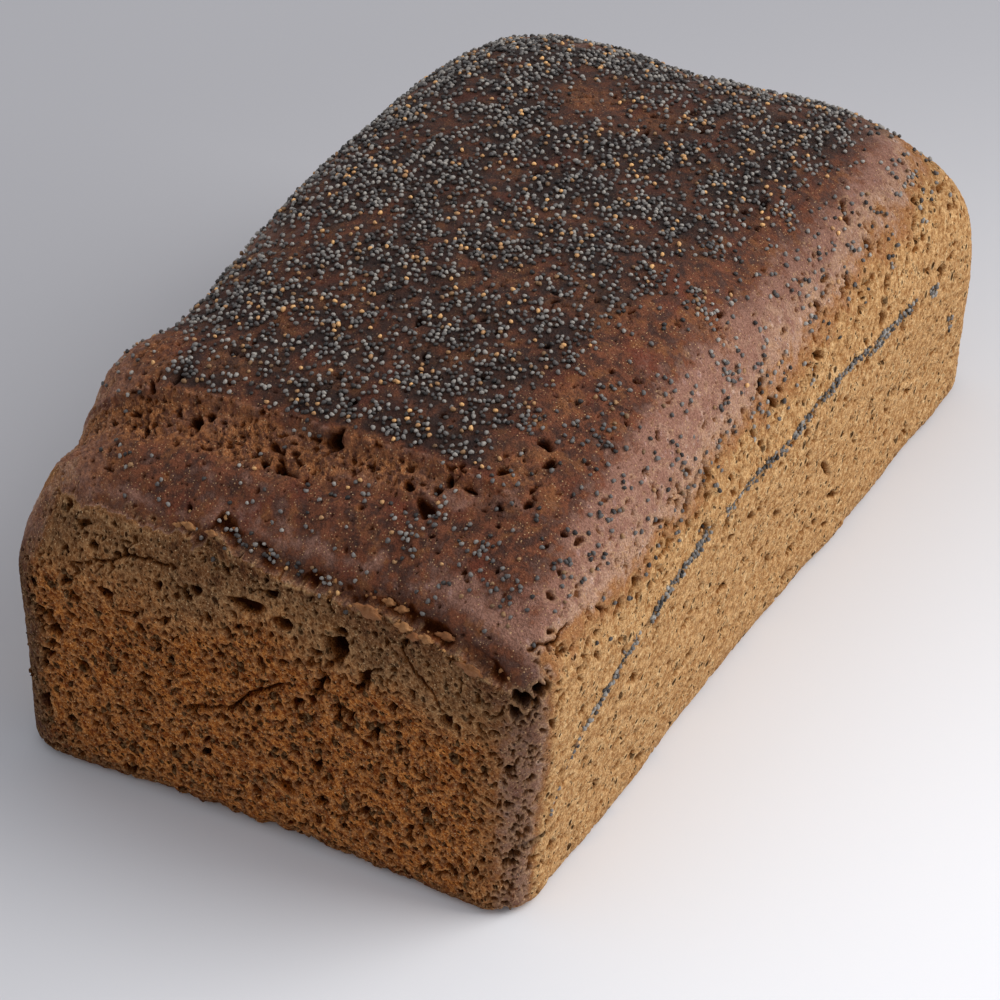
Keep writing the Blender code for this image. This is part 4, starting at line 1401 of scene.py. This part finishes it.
class Recipe:
    """Lays out the nodes of one material. Lengths are in millimetres."""

    def __init__(self, name: str) -> None:
        """Starts a material.

        Args:
            name: Name of the material.
        """
        self.material = bpy.data.materials.new(name)
        self.material.use_nodes = True
        self.tree = self.material.node_tree
        self.shader = self.tree.nodes["Principled BSDF"]
        self.place = self.node("ShaderNodeTexCoord").outputs["Object"]

    def node(self, kind: str, **settings: object) -> bpy.types.Node:
        """Adds a node with the given settings.

        Args:
            kind: Blender's name for the node.
            settings: Properties to set on it.

        Returns:
            The node.
        """
        made = self.tree.nodes.new(kind)
        for name, value in settings.items():
            setattr(made, name, value)
        return made

    def feed(self, socket: bpy.types.NodeSocket, value: object) -> None:
        """Links a socket to another, or sets its value.

        Args:
            socket: The input.
            value: A socket or a value.
        """
        if isinstance(value, bpy.types.NodeSocket):
            self.tree.links.new(value, socket)
        else:
            socket.default_value = value

    def sum_of(
        self, operation: str, first: object, second: object = 0.0, third: object = 0.0
    ) -> bpy.types.NodeSocket:
        """Works out one operation on up to three numbers.

        Args:
            operation: Blender's name for it.
            first: First number.
            second: Second number.
            third: Third number.

        Returns:
            The result's socket.
        """
        made = self.node("ShaderNodeMath", operation=operation)
        for socket, value in zip(made.inputs, (first, second, third)):
            self.feed(socket, value)
        return made.outputs[0]

    def span(
        self, value: object, low: float, high: float, to_low: float = 0.0, to_high: float = 1.0
    ) -> bpy.types.NodeSocket:
        """Maps one span of numbers smoothly to another.

        Args:
            value: The number.
            low: Start of its span.
            high: End of its span.
            to_low: Result at the start.
            to_high: Result at the end.

        Returns:
            The result's socket.
        """
        made = self.node("ShaderNodeMapRange", interpolation_type="SMOOTHSTEP")
        for socket, number in zip(made.inputs, (value, low, high, to_low, to_high)):
            self.feed(socket, number)
        return made.outputs[0]

    def grain(
        self, size: float, detail: float = 2.0, rough: float = 0.55, place: object = None
    ) -> bpy.types.NodeSocket:
        """Adds noise of a given wavelength, from 0 to 1.

        Args:
            size: Wavelength.
            detail: Number of finer layers.
            rough: Strength of each finer layer.
            place: Coordinates, or none for the object's own.

        Returns:
            The noise's socket.
        """
        made = self.node("ShaderNodeTexNoise")
        self.feed(made.inputs["Vector"], place or self.place)
        self.feed(made.inputs["Scale"], 1.0 / (size * MM))
        self.feed(made.inputs["Detail"], detail)
        self.feed(made.inputs["Roughness"], rough)
        return made.outputs["Fac"]

    def cells(self, size: float, place: object = None, feature: str = "F1") -> bpy.types.Node:
        """Adds a pattern of cells of a given width.

        Args:
            size: Width of a cell.
            place: Coordinates, or none for the object's own.
            feature: What the pattern measures.

        Returns:
            The pattern's node.
        """
        made = self.node("ShaderNodeTexVoronoi", feature=feature)
        self.feed(made.inputs["Vector"], place or self.place)
        self.feed(made.inputs["Scale"], 1.0 / (size * MM))
        return made

    def ramp(self, value: object, stops: Sequence[tuple[float, tuple[float, ...]]]) -> bpy.types.NodeSocket:
        """Runs through a row of colours.

        Args:
            value: Position along the row.
            stops: Position and colour of each step.

        Returns:
            The colour's socket.
        """
        made = self.node("ShaderNodeValToRGB")
        ramp = made.color_ramp
        while len(ramp.elements) < len(stops):
            ramp.elements.new(0.5)
        for element, (position, colour) in zip(ramp.elements, stops):
            element.position = position
            element.color = colour
        self.feed(made.inputs[0], value)
        return made.outputs[0]

    def blend(self, share: object, first: object, second: object, mode: str = "MIX") -> bpy.types.NodeSocket:
        """Mixes two colours by a share.

        Args:
            share: Share of the second.
            first: First colour.
            second: Second colour.
            mode: How they mix.

        Returns:
            The colour's socket.
        """
        made = self.node("ShaderNodeMix", data_type="RGBA", blend_type=mode)
        self.feed(made.inputs[0], share)
        self.feed(made.inputs[6], first)
        self.feed(made.inputs[7], second)
        return made.outputs[2]

    def coat(self, name: str, value: object) -> None:
        """Feeds a named input of the material's shader."""
        self.feed(self.shader.inputs[name], value)

    def raise_by(self, height: object, distance: float, strength: float = 1.0) -> None:
        """Shades the surface as if it were raised.

        Args:
            height: Height, from 0 to 1.
            distance: How far a height of 1 raises it.
            strength: Share of the effect.
        """
        relief = self.node("ShaderNodeBump")
        self.feed(relief.inputs["Strength"], strength)
        self.feed(relief.inputs["Distance"], distance * MM)
        self.feed(relief.inputs["Height"], height)
        self.coat("Normal", relief.outputs[0])

    def times(self, first: object, second: object) -> bpy.types.NodeSocket:
        """Multiplies two values."""
        return self.sum_of("MULTIPLY", first, second)

    def most(self, first: object, second: object) -> bpy.types.NodeSocket:
        """Takes the larger of two values."""
        return self.sum_of("MAXIMUM", first, second)

    def tones(
        self, value: object, low: float, high: float, dark: tuple[int, ...], light: tuple[int, ...]
    ) -> bpy.types.NodeSocket:
        """Runs from a dark to a light colour over a span of a value."""
        return self.blend(self.span(value, low, high), linear(*dark), linear(*light))

    def towards(self, share: object, first: object, colour: tuple[int, ...]) -> bpy.types.NodeSocket:
        """Mixes a named colour in by a share."""
        return self.blend(share, first, linear(*colour))

    def warped(self, place: object, size: float, amount: float) -> bpy.types.NodeSocket:
        """Bends the pattern's coordinates by noise of a given wavelength and amount.

        Args:
            place: Coordinates to bend.
            size: Wavelength of the noise.
            amount: How far it bends them.

        Returns:
            The bent coordinates.
        """
        bend = self.node("ShaderNodeTexNoise")
        self.feed(bend.inputs["Vector"], place)
        self.feed(bend.inputs["Scale"], 1.0 / (size * MM))
        self.feed(bend.inputs["Detail"], 1.0)
        made = self.node("ShaderNodeVectorMath", operation="MULTIPLY_ADD")
        self.feed(made.inputs[0], bend.outputs["Color"])
        self.feed(made.inputs[1], (amount * MM,) * 3)
        self.feed(made.inputs[2], place)
        return made.outputs[0]

    def turned(
        self, turn: tuple[float, float, float], stretch: tuple[float, float, float]
    ) -> bpy.types.NodeSocket:
        """Turns and stretches the pattern's coordinates.

        Args:
            turn: Turn about each axis, in radians.
            stretch: Stretch along each axis.

        Returns:
            The turned coordinates.
        """
        made = self.node("ShaderNodeMapping", vector_type="TEXTURE")
        self.feed(made.inputs["Vector"], self.place)
        self.feed(made.inputs["Rotation"], turn)
        self.feed(made.inputs["Scale"], stretch)
        return made.outputs[0]


@dataclass(frozen=True)
class CrustFinish:
    """The finish of the whole crust, from pale tin walls to the dark crown."""

    tan_light: tuple[int, int, int] = (215, 174, 121)
    tan_deep: tuple[int, int, int] = (163, 117, 69)
    amber: tuple[int, int, int] = (169, 119, 76)
    # rose and brown are the shoulder tones: partly the crust's own browning, partly a painted highlight on the
    # tilted shoulders.
    rose: tuple[int, int, int] = (187, 150, 126)
    brown: tuple[int, int, int] = (156, 115, 98)
    crown_light: tuple[int, int, int] = (124, 73, 48)
    crown_dark: tuple[int, int, int] = (62, 33, 21)
    crown_red: tuple[int, int, int] = (110, 54, 33)
    crown_gold: tuple[int, int, int] = (134, 84, 46)
    crumb_light: tuple[int, int, int] = (186, 115, 54)
    crumb_deep: tuple[int, int, int] = (106, 47, 11)
    torn_light: tuple[int, int, int] = (178, 116, 68)
    torn_deep: tuple[int, int, int] = (98, 58, 37)
    band: tuple[int, int, int] = (120, 78, 47)
    band_deep: tuple[int, int, int] = (68, 39, 23)
    burnt: tuple[int, int, int] = (66, 38, 26)
    # pale serves the flour specks, and the rims that are partly a painted highlight.
    pale: tuple[int, int, int] = (212, 172, 124)
    # dent darkens the colour as painted shade in shallow hollows.
    dent: tuple[int, int, int] = (186, 160, 132)
    # bubble darkens the colour as painted shade inside the bubbles of the net.
    bubble: tuple[int, int, int] = (190, 162, 132)
    # hollow is the near-black painted shade deep in pits, cracks, the lip groove and the fine pores.
    hollow: tuple[int, int, int] = (38, 15, 5)
    # ground: near black between the seeds, partly the crust's own tone and partly painted shade.
    ground: tuple[int, int, int] = (32, 21, 18)

    MARKS = {
        "bake_marks": ("bake", "crumb", "torn", "dust"),
        # Scorch, painted shade in hollows, pale rims that are partly a painted highlight, and darker crust that
        # is partly painted shade between seeds.
        "scorch_tone_and_painted_light_marks": ("scorch", "hollow", "rim", "soot"),
    }
    # Pores too fine for the mesh: cell, share of cells left closed, and growth of the rest.
    # WALL_GAIN brightens the crumb walls: partly paler crumb, partly a painted highlight on their edges.
    WALL_GAIN = (1.52, 1.85, 2.3)
    PORES = ((2.1, 0.50, 1.05), (1.2, 0.34, 0.72), (0.70, 0.38, 0.66))

    def marks(self, recipe: Recipe) -> dict[str, bpy.types.NodeSocket]:
        """Reads the marks that the crust carries.

        Args:
            recipe: The material's nodes.

        Returns:
            A socket for each mark.
        """
        found = {}
        for name, parts in self.MARKS.items():
            read = recipe.node("ShaderNodeAttribute", attribute_name=name)
            split = recipe.node("ShaderNodeSeparateColor")
            recipe.feed(split.inputs[0], read.outputs["Color"])
            sockets = list(split.outputs) + [read.outputs["Alpha"]]
            found.update(zip(parts, sockets))
        return found

    def material(self) -> bpy.types.Material:
        """Makes the material.

        Returns:
            The finished material.
        """
        recipe = Recipe("rye_crust")
        mark = self.marks(recipe)
        slanted = recipe.turned((math.radians(-38), math.radians(34), 0.0), (1.0, 1.0, 1.5))
        broad = recipe.grain(9.0, 2.0)
        middle = recipe.grain(2.2, 4.0, 0.6)
        fine = recipe.grain(0.45, 3.0, 0.6)
        slant = recipe.grain(1.1, 4.0, 0.65, slanted)

        level = recipe.sum_of("MULTIPLY_ADD", middle, 0.50, recipe.sum_of("SUBTRACT", mark["bake"], 0.25))
        tan = recipe.tones(slant, 0.34, 0.64, self.tan_deep, self.tan_light)
        crown = recipe.tones(middle, 0.36, 0.66, self.crown_dark, self.crown_light)
        crown = recipe.towards(recipe.span(broad, 0.52, 0.74), crown, self.crown_red)
        golden = recipe.span(recipe.grain(4.2, 3.0, 0.65), 0.52, 0.68, 0.0, 0.8)
        crown = recipe.towards(golden, crown, self.crown_gold)
        colour = recipe.towards(recipe.span(level, 0.06, 0.28), tan, self.amber)
        # Shoulder tones, partly a painted highlight on the tilted shoulders.
        colour = recipe.towards(recipe.span(level, 0.26, 0.46), colour, self.rose)
        colour = recipe.towards(recipe.span(level, 0.44, 0.64), colour, self.brown)
        colour = recipe.blend(recipe.span(level, 0.68, 0.95), colour, crown)

        crumb = recipe.tones(slant, 0.36, 0.62, self.crumb_deep, self.crumb_light)
        colour = recipe.blend(mark["crumb"], colour, crumb)
        band = recipe.tones(slant, 0.34, 0.62, self.band_deep, self.band)
        colour = recipe.blend(mark["dust"], colour, band)
        torn = recipe.tones(slant, 0.38, 0.62, self.torn_deep, self.torn_light)
        colour = recipe.blend(mark["torn"], colour, torn)
        colour = recipe.towards(recipe.times(mark["scorch"], 0.9), colour, self.burnt)
        # Darker crust under the seeds, partly painted shade between them.
        colour = recipe.towards(recipe.times(mark["soot"], 0.92), colour, self.ground)
        mottle = recipe.ramp(fine, ((0.30, (0.66, 0.62, 0.60, 1.0)), (0.66, (1.22, 1.22, 1.22, 1.0))))
        share = self.openness(recipe, mark)
        colour = recipe.blend(recipe.span(share, 0.25, 1.0, 1.0, 0.40), colour, mottle, "MULTIPLY")
        pinholes, rims = self.pinholes(recipe, slanted, share)
        torn_open = recipe.most(mark["crumb"], recipe.most(mark["dust"], mark["torn"]))
        net = recipe.times(self.net(recipe, slanted), recipe.span(torn_open, 0.0, 1.0, 0.35, 1.0))
        # Painted shade inside the bubbles between the walls of the net.
        deep = recipe.blend(1.0, colour, linear(*self.bubble), "MULTIPLY")
        colour = recipe.blend(recipe.times(recipe.span(net, 0.0, 0.5, 0.7, 0.0), share), colour, deep)
        # Pale walls and rims round the pores: partly paler crumb, partly a painted highlight.
        walls = recipe.times(recipe.most(rims, recipe.times(net, share)), 0.6)
        colour = recipe.towards(self.specks(recipe, mark), colour, self.pale)
        colour = recipe.blend(walls, colour, recipe.blend(1.0, colour, (*self.WALL_GAIN, 1.0), "MULTIPLY"))
        # Painted shade inside the fine pores.
        colour = recipe.towards(recipe.times(pinholes, 0.92), colour, self.hollow)
        # Pale rims round the pits and along the lip crest, partly a painted highlight.
        rim = recipe.times(mark["rim"], recipe.span(fine, 0.3, 0.6, 0.1, 0.7))
        colour = recipe.towards(rim, colour, self.pale)
        # Painted shade in the hollows: darker where the hollow mark is set, near black in the deepest.
        shaded = recipe.blend(1.0, colour, linear(*self.dent), "MULTIPLY")
        colour = recipe.blend(recipe.span(mark["hollow"], 0.03, 0.45), colour, shaded)
        colour = recipe.towards(recipe.span(mark["hollow"], 0.35, 0.95), colour, self.hollow)
        recipe.coat("Base Color", colour)
        recipe.coat("Roughness", recipe.span(middle, 0.3, 0.7, 0.60, 0.84))
        gloss = recipe.span(mark["bake"], 0.4, 0.95, 0.05, 0.28)
        closed = recipe.span(recipe.most(pinholes, mark["hollow"]), 0.1, 0.6, 1.0, 0.0)
        recipe.coat("Specular IOR Level", recipe.times(gloss, closed))

        granular = recipe.span(share, 0.25, 1.0, 1.2, 0.35)
        height = recipe.sum_of("MULTIPLY_ADD", fine, granular, recipe.times(middle, 0.45))
        height = recipe.sum_of("MULTIPLY_ADD", recipe.times(net, share), 0.28, height)
        height = recipe.sum_of("SUBTRACT", height, recipe.times(pinholes, 0.95))
        recipe.raise_by(height, 0.65, 0.9)
        return recipe.material

    def openness(self, recipe: Recipe, mark: dict[str, bpy.types.NodeSocket]) -> bpy.types.NodeSocket:
        """Works out how open the crumb is.

        Args:
            recipe: The material's nodes.
            mark: The crust's marks.

        Returns:
            1 on the torn crumb, less on the walls and little on the crown.
        """
        crumb = recipe.most(mark["crumb"], recipe.times(mark["dust"], 0.85))
        crumb = recipe.most(crumb, recipe.times(mark["torn"], 0.6))
        crumb = recipe.times(crumb, recipe.span(recipe.grain(5.0, 2.0), 0.35, 0.62, 0.72, 1.08))
        walls = recipe.times(recipe.sum_of("SUBTRACT", 1.0, mark["bake"]), 0.72)
        return recipe.most(recipe.most(crumb, walls), 0.22)

    def pinholes(
        self, recipe: Recipe, slanted: bpy.types.NodeSocket, share: bpy.types.NodeSocket
    ) -> tuple[bpy.types.NodeSocket, bpy.types.NodeSocket]:
        """Paints pores too fine for the mesh: shade inside them and pale walls round them.

        Args:
            recipe: The material's nodes.
            slanted: Coordinates stretched along the slant of the crumb.
            share: How open the crumb is.

        Returns:
            Their painted shade, and the strength of the pale walls round them, which are partly a painted
            highlight.
        """
        bent = recipe.warped(slanted, 1.1, 0.5)
        total: object = 0.0
        rims: object = 0.0
        for size, closed, growth in self.PORES:
            pattern = recipe.cells(size, bent)
            split = recipe.node("ShaderNodeSeparateColor")
            recipe.feed(split.inputs[0], pattern.outputs["Color"])
            drawn = recipe.most(recipe.sum_of("SUBTRACT", split.outputs[0], closed), 0.0)
            reach = recipe.times(recipe.times(drawn, growth), share)
            inside = recipe.sum_of("SUBTRACT", reach, pattern.outputs["Distance"])
            open_here = recipe.span(reach, 0.02, 0.12)
            dot = recipe.times(recipe.span(inside, -0.03, 0.13), open_here)
            ring = recipe.times(recipe.span(inside, -0.20, -0.05), open_here)
            total = recipe.most(total, dot)
            rims = recipe.most(rims, ring)
        return total, rims

    def net(self, recipe: Recipe, slanted: bpy.types.NodeSocket) -> bpy.types.NodeSocket:
        """Adds the thin walls between the finest bubbles.

        Args:
            recipe: The material's nodes.
            slanted: Coordinates stretched along the slant of the crumb.

        Returns:
            1 on a wall and 0 inside a bubble.
        """
        bent = recipe.warped(slanted, 0.9, 0.4)
        pattern = recipe.cells(0.62, bent, "DISTANCE_TO_EDGE")
        return recipe.span(pattern.outputs["Distance"], 0.02, 0.17, 1.0, 0.0)

    def specks(self, recipe: Recipe, mark: dict[str, bpy.types.NodeSocket]) -> bpy.types.NodeSocket:
        """Adds the fine pale specks of flour and bran.

        Args:
            recipe: The material's nodes.
            mark: The crust's marks.

        Returns:
            Their strength.
        """
        pattern = recipe.cells(0.55)
        split = recipe.node("ShaderNodeSeparateColor")
        recipe.feed(split.inputs[0], pattern.outputs["Color"])
        some = recipe.span(split.outputs[1], 0.45, 0.90)
        dot = recipe.span(pattern.outputs["Distance"], 0.12, 0.32, 1.0, 0.0)
        ground = recipe.span(mark["soot"], 0.0, 0.8, 1.0, 0.25)
        strength = recipe.times(recipe.times(some, dot), 0.75)
        return recipe.times(strength, ground)


@dataclass(frozen=True)
class SeedFinish:
    """The finish of one kind of poppy seed: a dull net of ridges over a faint gloss."""

    kind: SeedKind

    def material(self) -> bpy.types.Material:
        """Makes the material.

        Returns:
            The finished material.
        """
        recipe = Recipe(self.kind.value[1])
        red, green, blue = self.kind.value[2]
        shade = recipe.node("ShaderNodeAttribute", attribute_name="shade").outputs["Fac"]
        dark = linear(int(red * 0.55), int(green * 0.55), int(blue * 0.56))
        light = linear(min(255, int(red * 1.35)), min(255, int(green * 1.35)), min(255, int(blue * 1.33)))
        colour = recipe.ramp(shade, ((0.0, dark), (0.55, linear(red, green, blue)), (1.0, light)))
        net = recipe.cells(0.16)
        ridge = recipe.span(net.outputs["Distance"], 0.2, 0.7)
        colour = recipe.blend(recipe.times(ridge, 0.35), colour, dark)
        recipe.coat("Base Color", colour)
        recipe.coat("Roughness", recipe.span(ridge, 0.0, 1.0, 0.42, 0.6))
        recipe.coat("Specular IOR Level", 0.5)
        recipe.raise_by(ridge, 0.06, 0.5)
        return recipe.material


@dataclass(frozen=True)
class FlakeFinish:
    """The finish of loose crumbs and flakes, from pale to baked orange."""

    pale: tuple[int, int, int] = (180, 132, 80)
    baked: tuple[int, int, int] = (134, 84, 44)

    def material(self) -> bpy.types.Material:
        """Makes the material.

        Returns:
            The finished material.
        """
        recipe = Recipe("crust_flakes")
        shade = recipe.node("ShaderNodeAttribute", attribute_name="shade").outputs["Fac"]
        mottle = recipe.grain(0.8, 3.0)
        share = recipe.sum_of("MULTIPLY_ADD", mottle, 0.8, recipe.sum_of("SUBTRACT", shade, 0.4))
        colour = recipe.ramp(share, ((0.0, linear(*self.pale)), (1.0, linear(*self.baked))))
        recipe.coat("Base Color", colour)
        recipe.coat("Roughness", recipe.span(mottle, 0.3, 0.7, 0.7, 0.9))
        recipe.raise_by(mottle, 0.3)
        return recipe.material


@dataclass(frozen=True)
class Studio:
    """Pale floor with a pool of light painted into its colour, one broad soft light and a cool fill, with the
    camera. Lengths are in metres.
    """

    azimuth: float = -1.0563
    elevation: float = 0.6593
    roll: float = -0.0092
    distance: float = 1.0288872
    right: float = -0.0029008
    up: float = 0.010029
    focal: float = 5.25244
    key_place: tuple[float, float, float] = (0.47, -0.88, 0.88)
    key_size: float = 0.95
    key_watts: float = 14.2
    fill_strength: float = 0.61
    fill_colour: tuple[float, float, float] = (0.95, 0.95, 1.0)
    # A pool of light painted into the floor's colour: pale round one spot, darker further off.
    painted_pool_colour: tuple[float, float, float] = (0.90, 0.92, 0.95)
    painted_falloff_colour: tuple[float, float, float] = (0.42, 0.426, 0.45)
    painted_pool_middle: tuple[float, float, float] = (-0.08, -0.18, 0.0)
    painted_pool_reach: tuple[float, float] = (0.04, 0.38)

    def camera(self) -> None:
        """Sets up the camera on its fitted place, with no shift."""
        data = bpy.data.cameras.new("loaf_camera")
        data.sensor_width = 36.0
        data.sensor_fit = "HORIZONTAL"
        data.lens = self.focal * data.sensor_width
        data.clip_start, data.clip_end = 0.05, 20.0
        turn, tilt = self.azimuth, self.elevation
        back = Vector((math.sin(turn) * math.cos(tilt), -math.cos(turn) * math.cos(tilt), math.sin(tilt)))
        level = Vector((math.cos(turn), math.sin(turn), 0.0))
        upright = back.cross(level)
        right = math.cos(self.roll) * level + math.sin(self.roll) * upright
        up = -math.sin(self.roll) * level + math.cos(self.roll) * upright
        place = back * self.distance + right * self.right + up * self.up
        item = bpy.data.objects.new("loaf_camera", data)
        item.matrix_world = Matrix.Translation(place) @ Matrix((right, up, back)).transposed().to_4x4()
        bpy.context.scene.collection.objects.link(item)
        bpy.context.scene.camera = item

    def light(
        self, name: str, place: Sequence[float], size: float, watts: float, colour: Sequence[float]
    ) -> None:
        """Adds a soft square light that looks at the loaf.

        Args:
            name: Name of the light.
            place: Where it stands.
            size: Its side.
            watts: Its power.
            colour: Its colour.
        """
        data = bpy.data.lights.new(name, "AREA")
        data.shape = "SQUARE"
        data.size = size
        data.energy = watts
        data.color = colour
        item = bpy.data.objects.new(name, data)
        item.location = place
        aim = Vector((0.0, 0.0, 0.03)) - Vector(place)
        item.rotation_euler = aim.to_track_quat("-Z", "Y").to_euler()
        bpy.context.scene.collection.objects.link(item)

    def floor(self) -> None:
        """Lays the pale floor, with a pool of light painted into its colour: pale round one spot, darker
        further off.
        """
        mesh = bmesh.new()
        bmesh.ops.create_grid(mesh, x_segments=1, y_segments=1, size=3.0)
        data = bpy.data.meshes.new("floor")
        mesh.to_mesh(data)
        mesh.free()
        item = bpy.data.objects.new("floor", data)
        bpy.context.scene.collection.objects.link(item)
        recipe = Recipe("floor_with_painted_light_pool")
        # Painted pool of light: the colour runs from pale to dark with distance from the spot.
        away = recipe.node("ShaderNodeVectorMath", operation="DISTANCE")
        recipe.feed(away.inputs[0], recipe.place)
        recipe.feed(away.inputs[1], self.painted_pool_middle)
        share = recipe.span(away.outputs["Value"], *self.painted_pool_reach)
        colour = recipe.blend(share, (*self.painted_pool_colour, 1.0), (*self.painted_falloff_colour, 1.0))
        recipe.coat("Base Color", colour)
        recipe.coat("Roughness", 0.9)
        recipe.coat("Specular IOR Level", 0.1)
        data.materials.append(recipe.material)

    def build(self) -> None:
        """Sets up the whole studio."""
        scene = bpy.context.scene
        scene.view_settings.view_transform = "Standard"
        world = bpy.data.worlds.new("fill")
        world.use_nodes = True
        background = world.node_tree.nodes["Background"]
        background.inputs["Color"].default_value = (*self.fill_colour, 1.0)
        background.inputs["Strength"].default_value = self.fill_strength
        scene.world = world
        self.floor()
        self.light("key", self.key_place, self.key_size, self.key_watts, (1.0, 0.97, 0.94))
        self.camera()


def main() -> None:
    """Builds the studio, the crust, the seeds and the flakes, in that order."""
    logging.basicConfig(level=logging.INFO, format="%(name)s: %(message)s")
    Studio().build()
    crust = LoafCrust(LoafForm(), LipForm())
    crust.build(CrustFinish().material())
    PoppySeeds().build(crust.relief)
    LipFlakes().build(crust.relief, FlakeFinish().material())


if __name__ == "__main__":
    main()
